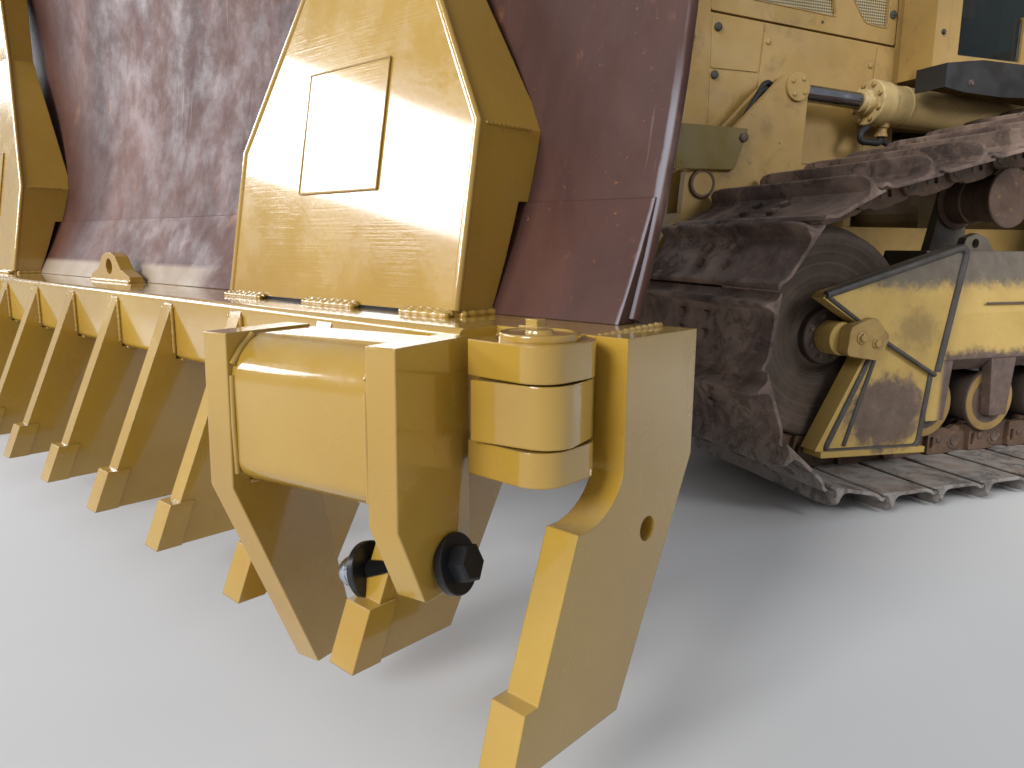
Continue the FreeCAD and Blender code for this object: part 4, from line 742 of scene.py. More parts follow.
NEAR_HALF = [
    # along the link, out from the pins; the inboard half at the first pin
    (-0.037, -0.008), (-0.030, 0.024), (-0.008, 0.037), (0.022, 0.045), (0.112, 0.045), (0.112, -0.050),
    (0.022, -0.050), (-0.012, -0.036), (-0.032, -0.026)]
FAR_HALF = [
    (0.078, 0.045), (0.182, 0.045), (0.208, 0.037), (0.232, 0.022), (0.240, -0.004), (0.231, -0.026),
    (0.210, -0.037), (0.186, -0.036), (0.162, -0.050),
    (0.078, -0.050)]
WINDOW = [(0.088, 0.024), (0.104, 0.024), (0.104, -0.020), (0.088, -0.020)]


def link(chain, pins, at, way):
    """One rail of a link: an inboard half, and an outboard half with its window and pin boss."""

    def slab(loops, x0, x1):
        part = Piece("", "", "link", Matrix())
        part.plate(loops, "x", x0, x1)
        chain.add([at(TRACK_X + way * p.x, p.y, p.z) for p in part.points], part.faces)

    slab([rounded(NEAR_HALF, 0.008, 2)], 0.047, 0.070)
    slab([rounded(FAR_HALF, 0.010, 2), rounded(WINDOW, 0.008, 3)], 0.064, 0.088)
    centre = Vector(at(TRACK_X, 0.203, 0))
    out = Vector(at(TRACK_X + way, 0.203, 0)) - centre
    pins.turned([(0.06, 0.019), (0.0925, 0.019), (0.0935, 0.017), (0.0915, 0.013), (0.0915, 0.003)],
        centre, out, 18)
    chain.turned([(0.086, 0.034), (0.0905, 0.031), (0.0905, 0.0205), (0.086, 0.020)], centre, out, 20)
    nut = Vector(at(TRACK_X, 0.128, -0.008))
    chain.turned([(0.086, 0.017), (0.089, 0.014)], nut, out, 14)
    pins.turned([(0.086, 0.011), (0.0925, 0.011), (0.0935, 0.008)], nut, out, 6)


M["turned"] = turned_steel()


def idlers():
    """Dished webs, a rim with its middle rib and a bolted hub ring."""
    half = 0.086
    web = Piece("idler_wheels", "chassis", "turned")
    bolts = Piece("idler_bolts", "chassis", "steel")
    outer = [(half + 0.012, 0.03), (half + 0.012, 0.088), (half + 0.008, 0.092), (half - 0.016, 0.094),
        (half - 0.018, 0.104), (half - 0.026, 0.118)]
    for k in range(10):
        r = 0.128 + k * 0.0165
        outer.append((half - 0.026 + 0.022 * (r - 0.118) / 0.182 + 0.003 * math.sin(k * 0.7), r))
    outer += [(half - 0.003, 0.298), (half, 0.305), (half, 0.332), (half - 0.004, 0.3395), (0.042, 0.340),
        (0.034, 0.352), (0.028, 0.3615), (0.0, 0.362)]
    profile = [(-t, r) for t, r in outer] + outer[-2::-1]
    for side in (-1, 1):
        for y, z in (FRONT_AXLE, REAR_AXLE):
            web.turned(profile, (side * TRACK_X, y, z), X, 96)
            for way in (-1, 1):
                for v, w in ring(8, 0.072, 0.5):
                    bolts.bolt((side * TRACK_X + way * (half + 0.012), y + v, z + w), X * way, 0.0085)
    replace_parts(web.done(24), "idlers")
    bolts.done()


def rollers():
    """Track rollers with painted flanges and treads showing wear."""
    seat = GROUND_TO_PIN + RAIL_DEPTH + FIT + 0.096
    first, last, count = FRONT_AXLE[0] + 0.45, REAR_AXLE[0] - 0.45, 8
    body = Piece("roller_treads", "chassis", "steel")
    faces = Piece("roller_flanges", "chassis", "yellow")
    caps = Piece("roller_caps", "chassis", "link")
    for side in (-1, 1):
        for i in range(count):
            centre = (side * TRACK_X, first + (last - first) * i / (count - 1), seat)
            body.turned([(-0.109, 0.108), (-0.109, 0.114), (-0.106, 0.116), (-0.0945, 0.116),
                (-0.093, 0.096), (0.093, 0.096), (0.0945, 0.116),
                         (0.106, 0.116), (0.109, 0.114), (0.109, 0.108)], centre, X, 48)
            for way in (-1, 1):
                faces.turned([(0.1, 0.1125), (0.1095, 0.1125), (0.1098, 0.086), (0.104, 0.082),
                    (0.104, 0.05)], centre, X * way, 48)
                caps.turned([(0.1, 0.066), (0.109, 0.064), (0.1099, 0.03)], centre, X * way, 24)
    body.done(28)
    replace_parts(faces.done(28), "track_rollers")
    caps.done(28)


def carriers():
    rise = SPROCKET[1] - FRONT_AXLE[1]
    slope = math.atan2(rise, SPROCKET[0] - FRONT_AXLE[0])
    y = 0.69
    middle = FRONT_AXLE[1] + (y - FRONT_AXLE[0]) * math.tan(slope)
    z = middle + (PIN_RADIUS - RAIL_DEPTH - FIT - 0.084) / math.cos(slope) - 0.004
    body = Piece("carrier_wheels", "chassis", "link")
    for side in (-1, 1):
        body.turned([(-0.11, 0.05), (-0.11, 0.1), (-0.107, 0.104), (-0.096, 0.104), (-0.092, 0.084),
            (-0.03, 0.084), (-0.026, 0.078), (0.026, 0.078),
                     (0.03, 0.084), (0.092, 0.084), (0.096, 0.104), (0.107, 0.104), (0.11, 0.1),
                     (0.11, 0.05)], (side * TRACK_X, y, z), X, 56)
    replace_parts(body.done(28), "carrier_rollers")


def final_drives():
    """Hub covers on the sprockets with their ring of bolts."""
    cover = Piece("final_drive_covers", "chassis", "worn_steel")
    bolts = Piece("final_drive_bolts", "chassis", "steel")
    for side in (-1, 1):
        centre = Vector((side * TRACK_X, *SPROCKET))
        cover.turned([(0.036, 0.262), (0.046, 0.262), (0.052, 0.252), (0.099, 0.194), (0.106, 0.19),
            (0.14, 0.173), (0.146, 0.168),
                      (0.1505, 0.094), (0.1505, 0.02)], centre, X * side, 64)
        for v, w in ring(16, 0.272):
            bolts.bolt(centre + Vector((side * 0.038, v, w)), X * side, 0.011)
        for v, w in ring(10, 0.135, 0.5):
            bolts.bolt(centre + Vector((side * 0.148, v, w)), X * side, 0.009)
    cover.done(28)
    bolts.done()


track(1)
track(-1)
idlers()
rollers()
carriers()
final_drives()


# Engine bay and guard



def engine_door(side):
    """Door with two screened windows on either side of a slanting rib."""
    name = "left" if side > 0 else "right"
    body = "engine_door_" + name
    outline = rounded([(-0.1197, 1.69), (0.782, 1.6405), (0.782, 1.942), (-0.1197, 1.942)], 0.012, 3)
    first = rounded([(0.0, 1.75), (0.472, 1.722), (0.425, 1.9), (0.0, 1.9)], 0.022, 5)
    second = rounded([(0.618, 1.713), (0.738, 1.704), (0.738, 1.9), (0.462, 1.9)], 0.022, 5)
    door = Piece("door_skin_" + name, body, "yellow")
    for loops, x0, x1 in (([outline, first, second], 0.428, 0.45),):
        door.plate(loops, "x", side * x0, side * x1)
    for loop in (first, second):
        path = [(side * 0.4502, y, z) for y, z in loop + loop[:1]]
        door.tube(path, 0.0028, 6)
    door.box(side * 0.45, side * 0.4525, -0.1, 0.765, 1.915, 1.93)
    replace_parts(door.done(30, 0.0015), body)
    mesh = Piece("door_screen_" + name, body, "screen")
    mesh.box(side * 0.433, side * 0.436, -0.03, 0.765, 1.69, 1.92)
    mesh.done()
    fixings = Piece("door_fixings_" + name, body, "dark_grey")
    fixings.button((side * 0.45, 0.402, 1.697), X * side, 0.006)
    fixings.turned([(0, 0.017), (0.004, 0.017), (0.006, 0.013)], (side * 0.45, 0.76, 1.76), X * side, 20)
    fixings.box(side * 0.456, side * 0.459, 0.748, 0.772, 1.757, 1.763)
    fixings.done()


def side_sheets(side):
    """Raised sheets of the fixed side panel with slanting seams and their bolts."""
    name = "left" if side > 0 else "right"
    sheets = Piece("panel_sheets_" + name, "chassis", "yellow")

    def lean(y, z):
        return y - 0.085 * (1.67 - z)

    def sheet(y0, y1, z0, z1, front=True, back=True):
        top0, top1 = z1 - 0.0548 * (y0 + 0.1197), z1 - 0.0548 * (y1 + 0.1197)
        corners = [
            (lean(y0, z0) if front else y0, z0), (lean(y1, z0) if back else y1, z0),
            (lean(y1, top1) if back else y1, top1), (lean(y0, top0) if front else y0, top0)]
        sheets.plate([rounded(corners, 0.012, 3)], "x", side * 0.4499, side * 0.4535)

    sheet(-0.112, 0.124, 1.482, 1.676, front=False)
    sheet(-0.112, 0.124, 1.145, 1.474, front=False)
    sheet(0.131, 0.69, 1.145, 1.676)
    sheet(0.697, 0.786, 1.145, 1.676, back=False)
    sheets.done(30, 0.002)
    bolts = Piece("panel_bolts_" + name, "chassis", "yellow")
    for y, z in ((0.145, 1.599), (0.66, 1.552), (0.16, 1.22), (0.66, 1.2), (-0.09, 1.2)):
        bolts.button((side * 0.4535, y, z), X * side, 0.0115)
    bolts.button((side * 0.45, -0.197, 1.59), X * side, 0.0125)
    bolts.button((side * 0.45, -0.197, 1.2), X * side, 0.0125)
    bolts.done()
    stops = Piece("panel_stops_" + name, "chassis", "dark_grey")
    for y, z in ((-0.088, 1.631), (-0.094, 1.458)):
        stops.turned([(-0.002, 0.0155), (0.007, 0.0155), (0.010, 0.012), (0.011, 0.007)],
            (side * 0.4535, y, z), X * side, 22)
    stops.bolt((side * 0.62, 0.857, 1.662), X * side, 0.008)
    stops.done()


def guard_front():
    """Bolts round the grille, the exhaust stack's bands and flap, and the precleaner's bowl."""
    bolts = Piece("grille_bolts", "chassis", "steel")
    for x in (-0.42, 0.42):
        for z in (1.02, 1.3, 1.6, 1.9, 2.06):
            bolts.bolt((x, -0.27, z), -Y, 0.011)
    for x in (-0.25, 0, 0.25):
        bolts.bolt((x, -0.27, 1.06), -Y, 0.011)
    bolts.done()
    bands = Piece("stack_bands", "chassis", "exhaust")
    top = 2.115 + 0.76
    bands.turned([(0, 0.05), (0, 0.0585), (0.012, 0.0585), (0.012, 0.05)], (-0.17, 0.48, top - 0.012), Z,
        40)
    bands.turned([(0, 0.0862), (0.05, 0.0862), (0.062, 0.075), (0.066, 0.0575)], (-0.17, 0.48, 2.125), Z,
        40)
    bands.turned([(0, 0.0575), (0.62, 0.0575)], (-0.17, 0.48, 2.19), Z, 40)
    bands.done(28)
    cap = Piece("stack_flap", "chassis", "exhaust")
    cap.turned([(0, 0.056), (0.004, 0.06), (0.008, 0.056)], (-0.17, 0.5, top + 0.012),
        Vector((0, 0.32, 1)), 36)
    cap.box(-0.178, -0.162, 0.53, 0.556, top - 0.02, top + 0.02)
    cap.done()
    bowl = Piece("precleaner_bowl", "chassis", "dark_grey")
    bowl.turned([(0.128, 0.118), (0.132, 0.1225), (0.2, 0.1225), (0.204, 0.1255), (0.214, 0.1255),
        (0.218, 0.1225), (0.284, 0.1215), (0.292, 0.112),
                 (0.294, 0.079), (0.345, 0.0785), (0.353, 0.066), (0.356, 0.02)], (0.19, 0.48, 2.115), Z,
                 56)
    bowl.done(28)


# Cab

CAB_FLOOR = 1.5413


def pad(name, x0, x1, y0, y1, z0, z1, lean=0.0):
    """A cushion with puffed faces, rounded edges and two stitched channels."""
    cells = 14
    piece = Piece(name, "chassis", "seat")
    centre = Vector(((x0 + x1) / 2, (y0 + y1) / 2, (z0 + z1) / 2))
    size = Vector((x1 - x0, y1 - y0, z1 - z0))
    faces = []
    points = []
    index = {}

    def vertex(u, v, w):
        key = (u, v, w)
        if key not in index:
            p = Vector((2 * u / cells - 1, 2 * v / cells - 1, 2 * w / cells - 1))
            q = Vector([c * (1 - 0.10 * sum(p[k] ** 4 for k in range(3) if k != i)) for i,
                c in enumerate(p)])
            channel = 0.05 * math.exp(-((abs(p.x) - 0.52) / 0.05) ** 2)
            q.z -= math.copysign(channel if abs(p.z) == 1 else 0, p.z)
            place = centre + Vector((q.x * size.x, q.y * size.y, q.z * size.z)) / 2
            place.y += lean * (place.z - z0)
            index[key] = len(points)
            points.append(place)
        return index[key]

    for a in range(cells):
        for b in range(cells):
            for end in (0, cells):
                for corner in (lambda s, t: (end, s, t), lambda s, t: (s, end, t), lambda s,
                    t: (s, t, end)):
                    faces.append([vertex(*corner(a, b)), vertex(*corner(a + 1, b)),
                        vertex(*corner(a + 1, b + 1)), vertex(*corner(a, b + 1))])
    piece.add(points, faces)
    made = piece.done(60)
    return made


def cab():
    pad("seat_cushion", -0.256, 0.256, 1.592, 2.1, CAB_FLOOR + 0.252, CAB_FLOOR + 0.392)
    pad("seat_back", -0.246, 0.246, 2.0, 2.13, CAB_FLOOR + 0.385, 2.55, 0.155)
    trim = Piece("cab_trim", "chassis", "black")
    for side in (-1, 1):
        for z in (2.02, 2.78):
            trim.box(side * 0.5965, side * 0.6005, 2.0, 2.28, z, z + 0.012)
        for y in (1.992, 2.286):
            trim.box(side * 0.5965, side * 0.6005, y, y + 0.012, 2.0, 2.83)
        trim.tube(bent([(side * 0.62, 1.96, 2.05), (side * 0.665, 1.96, 2.05), (side * 0.665, 1.96, 2.6),
            (side * 0.62, 1.96, 2.6)], 0.03), 0.011, 12)
    trim.done()
    levers = Piece("control_levers", "chassis", "black")
    for x in (-0.36, 0.37):
        levers.tube(bent([(x, 1.66, CAB_FLOOR + 0.51), (x, 1.65, CAB_FLOOR + 0.6),
            (x, 1.63, CAB_FLOOR + 0.68)], 0.05), 0.009, 10)
        levers.turned([(0, 0.014), (0.02, 0.024), (0.05, 0.026), (0.07, 0.018), (0.078, 0.006)],
            (x, 1.632, CAB_FLOOR + 0.665), (0, -0.2, 1), 20)
    levers.box(-0.16, 0.16, 1.03, 1.05, CAB_FLOOR + 0.5, CAB_FLOOR + 0.54)
    levers.done(40, 0.003)
    for side in (-1, 1):
        name = "left" if side > 0 else "right"
        handle = Piece("cab_door_handle_" + name, "cab_door_" + name, "black")
        handle.tube(bent([(side * 0.618, 1.84, 1.83), (side * 0.652, 1.84, 1.83),
            (side * 0.652, 1.84, 1.95), (side * 0.618, 1.84, 1.95)], 0.015), 0.008, 10)
        handle.turned([(-0.002, 0.024), (0.006, 0.024), (0.01, 0.019)], (side * 0.62, 1.865, 1.79),
            X * side, 24)
        handle.done()
        hinges = Piece("cab_door_hinges_" + name, "chassis", "yellow")
        for z in (2.02, 2.62):
            hinges.turned([(0, 0.014), (0.09, 0.014)], (side * 0.632, 0.882, z), Z, 18)
            hinges.box(side * 0.6201, side * 0.628, 0.845, 0.884, z + 0.008, z + 0.082)
        hinges.done(30, 0.001)
        seal = Piece("cab_door_seal_" + name, "cab_door_" + name, "rubber")
        corners = [(0.944, 1.581), (1.296, 1.581), (1.296, 1.762), (1.846, 1.762), (1.846, 2.796),
            (0.944, 2.796)]
        path = [(side * 0.602, y, z) for y, z in rounded(corners, 0.03, 4)]
        seal.tube(path + path[:1], 0.0075, 8)
        seal.done()
    wipers = Piece("wipers", "chassis", "black")
    for y, way in ((0.83, -1), (2.363, 1)):
        wipers.turned([(0, 0.02), (0.02, 0.018)], (0.0, y, 2.88), Y * way, 18)
        wipers.tube([(0.0, y + way * 0.014, 2.88), (-0.06, y + way * 0.01, 2.45)], 0.006, 8)
        wipers.box(-0.066, -0.054, y + way * 0.003, y + way * 0.012, 2.2, 2.6)
    wipers.done()
    lens = Piece("lamp_lenses", "chassis", "lamp")
    rims = Piece("lamp_rims", "chassis", "black")
    for x in (-0.42, 0.42):
        for y, way in ((0.6743, -1), (2.52, 1)):
            lens.turned([(-0.002, 0.03), (0.003, 0.028), (0.006, 0.016), (0.007, 0.003)], (x, y, 2.978),
                Y * way, 28)
            rims.turned([(-0.002, 0.030), (-0.002, 0.0335), (0.006, 0.0335), (0.006, 0.030)],
                (x, y, 2.978), Y * way, 28)
    lens.done(40)
    rims.done(40)
    tread = Piece("step_bolts", "chassis", "steel")
    for side in (-1, 1):
        tread.bolt((side * 0.8, 0.823, 1.43), X * side, 0.009)
        tread.bolt((side * 0.8, 1.26, 1.45), X * side, 0.009)
    tread.done()
    tank = Piece("tank_cap", "chassis", "yellow")
    tank.turned([(-0.01, 0.07), (0.02, 0.07), (0.03, 0.055), (0.05, 0.055), (0.056, 0.045)],
        (0.3, 2.62, 2.25), Z, 32)
    tank.box(-0.45, 0.45, 3.0602, 3.064, 1.62, 2.04)
    tank.done(30, 0.001)


# Lift frame and cylinders

APEX = Vector((0, 0.164, 1.402))
LIFT_FOOT = Vector((0, 1.7, 1.33))
LIFT_X = 0.5575
ARM_OUT = 0.62


def lift_cylinder(side):
    name = "left" if side > 0 else "right"
    way = (LIFT_FOOT - APEX).normalized()
    start = APEX + X * side * LIFT_X
    tube = Piece("lift_tube_" + name, "lift_barrel_" + name, "pale")

    def along(t):
        return start + way * t

    tube.turned([(0.472, 0.0785), (0.56, 0.0785), (0.56, 0.0805), (0.566, 0.0812), (0.572, 0.0805),
        (0.572, 0.0785), (1.43, 0.0785)], start, way, 56)
    tube.turned([(0.398, 0.052), (0.398, 0.084), (0.402, 0.0885), (0.432, 0.0885), (0.436, 0.0865),
        (0.472, 0.0865), (0.478, 0.0795)], start, way, 56)
    tube.turned([(0.352, 0.0335), (0.352, 0.041), (0.356, 0.044), (0.372, 0.044), (0.376, 0.05),
        (0.398, 0.054)], start, way, 40)
    tube.done(28)
    lugs = Piece("gland_bolts_" + name, "lift_barrel_" + name, "yellow")
    cross = way.cross(X)
    for v, w in ring(8, 0.071, 0.5):
        lugs.turned([(0, 0.0105), (-0.009, 0.0105), (-0.011, 0.008)], along(0.398) + X * v + cross * w,
            way, 6)
    lugs.done()
    down = -way.cross(X) if way.cross(X).z > 0 else way.cross(X)
    port = Piece("port_" + name, "lift_barrel_" + name, "yellow")
    foot = along(0.487) + down * 0.07
    port.turned([(0, 0.028), (0.02, 0.028), (0.024, 0.022), (0.04, 0.022), (0.044, 0.026), (0.056, 0.026)],
        foot, down, 24)
    port.done(30)
    hose = Piece("port_pipe_" + name, "lift_barrel_" + name, "rubber")
    end = foot + down * 0.05
    hose.tube(bent([end, end + down * 0.03, end + down * 0.032 - way * 0.1, end - way * 0.105 + down * 0.0,
        end - way * 0.07 - down * 0.03], 0.03), 0.0135, 12)
    hose.tube(bent([end + down * 0.012, end + down * 0.03 + way * 0.03, end + down * 0.01 + way * 0.5,
        along(1.05) + down * 0.082], 0.06), 0.011, 12)
    hose.done(40)


def lift_details():
    """Pin caps, the lock bolt of the bracket, and the hoses between a tower's plates."""
    caps = Piece("apex_caps", "lift_frame", "yellow")
    bolts = Piece("apex_bolts", "lift_frame", "yellow")
    studs = Piece("bracket_bolts", "lift_frame", "steel")
    hoses = Piece("tower_hoses", "lift_frame", "rubber")
    olive = Piece("bracket_skins", "lift_frame", "olive")
    rusty = Piece("lower_caps", "lift_frame", "link")
    for side in (-1, 1):
        centre = Vector((side * ARM_OUT, APEX.y, APEX.z))
        caps.turned([(0.0, 0.0525), (0.0085, 0.0525), (0.0105, 0.050), (0.0105, 0.01)], centre, X * side,
            48)
        for v, w in ring(4, 0.034, 0.62):
            bolts.button(centre + Vector((side * 0.0105, v, w)), X * side, 0.0085)
        lower = Vector((side * ARM_OUT, -0.236, 1.036))
        rusty.turned([(0.0, 0.0525), (0.0105, 0.0525), (0.0125, 0.050), (0.0125, 0.044), (0.0095, 0.040),
            (0.0095, 0.01)], lower, X * side, 40)
        studs.turned([(0, 0.0165), (0.003, 0.0175), (0.009, 0.0165), (0.011, 0.012)],
            (side * 0.642, -0.08, 1.204), X * side, 28)
        outline = rounded([(-0.362, 1.241), (-0.06, 1.237), (-0.112, 1.088), (-0.362, 1.083)], 0.012, 3)
        olive.plate([outline], "x", side * 0.6405, side * 0.6435)
        for k, (y0, z0) in enumerate(((0.1, 1.405), (0.07, 1.375))):
            x = side * (0.545 + 0.024 * k)
            hoses.tube(bent([(x, y0 - 0.16, z0 - 0.42), (x, y0 - 0.14, z0 - 0.16),
                (x, y0 - 0.02, z0 + 0.03), (x, y0 + 0.03, z0 - 0.01)], 0.08), 0.012, 12)
    for piece in (caps, bolts, studs, hoses, rusty):
        piece.done(30)
    olive.done(30, 0.0015)
    beads = Piece("arm_welds", "lift_frame", "yellow")
    for side in (-1, 1):
        for x in (0.495, 0.592):
            beads.bead([(side * x, -0.29, 1.078), (side * x, -0.2, 1.128)], 0.005)
        beads.bead([(side * 0.64, -0.36, 1.083), (side * 0.622, -0.112, 1.088)], 0.004)
    beads.done(60)


def small_barrels():
    """Smooth sleeves and gland rings over the angle and tilt cylinders."""
    turn = Matrix.Rotation(BLADE_ANGLE, 3, "Z")
    for side, name in ((1, "left"), (-1, "right")):
        eye = SWING_PIN + turn @ Vector((side * 0.6, -0.15, 0)) + Z * 0.85
        foot = Vector((side * 0.52, -0.64, 0.85))
        way = (eye - foot).normalized()
        sleeve = Piece("angle_tube_" + name, "angle_barrel_" + name, "black")
        sleeve.turned([(0.09, 0.0582), (0.65, 0.0582), (0.652, 0.0662), (0.7, 0.0662), (0.702, 0.0675),
            (0.722, 0.0675), (0.7235, 0.062), (0.7235, 0.031)],
                      foot, way, 44)
        sleeve.done(28)
    foot, eye = Vector((-0.33, -0.265, 1.33)), Vector((0.33, -0.265, 1.33))
    way = (eye - foot).normalized()
    sleeve = Piece("tilt_tube", "tilt_barrel", "black", BLADE)
    sleeve.turned([(0.08, 0.0552), (0.36, 0.0552), (0.362, 0.0632), (0.41, 0.0632), (0.43, 0.0645),
        (0.4315, 0.058), (0.4315, 0.03)], foot, way, 44)
    sleeve.done(28)


# Track frames

def frame_details():
    bolts = Piece("guard_bolts", "chassis", "yellow")
    rims = Piece("guard_rims", "chassis", "steel")
    straps = Piece("frame_straps", "chassis", "steel")
    for side in (-1, 1):
        for y, z in ((-0.035, 0.168), (0.092, 0.178), (0.214, 0.19)):
            rims.turned([(0.0, 0.017), (0.004, 0.017), (0.004, 0.013)], (side * 1.176, y, z), X * side, 20)
            bolts.bolt((side * 1.178, y, z), X * side, 0.009)
        straps.box(side * 1.1655, side * 1.169, 0.58, 2.3, 0.618, 0.626)
    bolts.done()
    rims.done()
    straps.done(30, 0.001)
    edges = Piece("guard_edges", "chassis", "bead_steel")
    for side in (-1, 1):
        for x, path, radius in (
                (1.204, [(-0.15, 0.664), (0.395, 0.812), (0.414, 0.796), (0.34, 0.40)], 0.0125),
                (1.204, [(-0.15, 0.664), (0.10, 0.512), (0.335, 0.388)], 0.007),
                (1.192, [(0.326, 0.392), (0.298, 0.142), (-0.1, 0.156), (0.09, 0.522)], 0.010),
                (1.192, [(0.10, 0.52), (-0.02, 0.17)], 0.008)):
            edges.tube(bent([(side * x, y, z) for y, z in path], 0.03), radius, 12)
    edges.done(60)
    caps = Piece("idler_axle_caps", "chassis", "yellow")
    for side in (-1, 1):
        block = rounded([(-0.075, 0.475), (-0.065, 0.565), (0.03, 0.595), (0.095, 0.53), (0.06, 0.452)],
            0.018, 4)
        caps.plate([block], "x", side * 1.19, side * 1.232)
        caps.bolt((side * 1.232, -0.02, 0.53), X * side, 0.014)
        caps.bolt((side * 1.232, 0.04, 0.51), X * side, 0.012)
    caps.done(30, 0.005)


# Blade

def face_circle():
    """Centre and radius of the arc of the moldboard's face."""
    foot, top = (RAKE_FRONT + 0.246, 0.6853), (RAKE_FRONT + 0.326, 2.0853)
    sag = 0.12
    half = math.dist(foot, top) / 2
    middle = ((foot[0] + top[0]) / 2, (foot[1] + top[1]) / 2)
    lean = (foot[0] - top[0]) / (top[1] - foot[1])
    sag_along = sag / math.sqrt(1 + lean * lean)
    radius = (half * half + sag_along * sag_along) / (2 * sag_along)
    away = radius - sag_along
    along = Vector((1, lean)).normalized()
    return middle[0] - away * along[0], middle[1] - away * along[1], radius


FACE = face_circle()
FOOT, CREST = 0.6853, 2.0853
NEAR_END = 1.926


def face_y(z, out=0.0):
    """y of the moldboard's face on the square blade at a height, or of a surface that far behind it."""
    return FACE[0] + math.sqrt(max(0.0, (FACE[2] + out) ** 2 - (z - FACE[1]) ** 2))


def follow(z0, z1, ahead, behind, steps=28):
    """Outline of a plate that follows the face between two heights, by its (foot, head) distances."""
    heights = [z0 + (z1 - z0) * i / steps for i in range(steps + 1)]

    def side(pair):
        return [(face_y(z, pair[0] + (pair[1] - pair[0]) * i / steps), z) for i, z in enumerate(heights)]

    return side(ahead) + side(behind)[::-1]


def moldboard():
    """The curved plate with a thin near end, its stiffeners set in from it, the tilt boss and bracket."""
    board = Piece("moldboard_skin", "blade", "rusty", BLADE)
    board.plate([follow(FOOT, CREST, (0, 0), (0.022, 0.022), 48)], "x", -1.975, NEAR_END)
    inset = NEAR_END - 0.1
    board.plate([follow(CREST - 0.19, CREST - 0.012, (0.02, 0.02), (0.112, 0.112), 10)], "x", -1.975, inset)
    board.plate([follow(FOOT + 0.03, FOOT + 0.29, (0.02, 0.02), (0.142, 0.142), 12)], "x", -1.975, inset)
    for x in (-1.975, -1.25, -0.69, 0.665, 1.225, inset - 0.025):
        board.plate([follow(FOOT + 0.06, CREST - 0.06, (0.02, 0.02), (0.107, 0.107), 30)], "x", x,
            x + 0.025)
    z = 0.95
    sections = []
    for radius, y in ((0.13, None), (0.13, -0.208), (0.0702, -0.208), (0.0702, -0.43)):
        sections.append([(a, face_y(z + b) + 0.012 if y is None else y, z + b) for a,
            b in ring(40, radius)])
    board.loft(sections)
    board.box(0.3, 0.38, face_y(1.33) + 0.01, -0.2883, 1.28, 1.38)
    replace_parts(board.done(30, 0.002), "moldboard")
    edge = Piece("cutting_edge_skin", "blade", "edge", BLADE)
    edge.plate([follow(FOOT, FOOT + 0.203, (-0.0253, -0.004), (-0.0003, -0.0003), 10)], "x", -1.975,
        NEAR_END)
    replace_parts(edge.done(30, 0.0015), "cutting_edge")


def blade_details():
    welds = Piece("blade_welds", "blade", "rusty", BLADE)
    path = [(-1.9755, face_y(0.69 + 0.1 * k) + 0.011, 0.69 + 0.1 * k) for k in range(14)]
    welds.tube(path, 0.0125, 10)
    near = [(NEAR_END, face_y(0.69 + 0.1 * k) + 0.011, 0.69 + 0.1 * k) for k in range(14)]
    welds.tube(near, 0.0118, 10)
    welds.tube([(-1.97, face_y(2.083) + 0.011, 2.0855), (NEAR_END, face_y(2.083) + 0.011, 2.0855)], 0.0125,
        10)
    welds.done(60)


# Rake

TINE_PITCH = 0.32
TINES = [(i - 5.5) * TINE_PITCH for i in range(12)]
HINGE = (1.948, RAKE_FRONT)


def tower_y(z):
    return TOWER_FRONT + TOWER_LEAN * (z - BEAM_TOP)


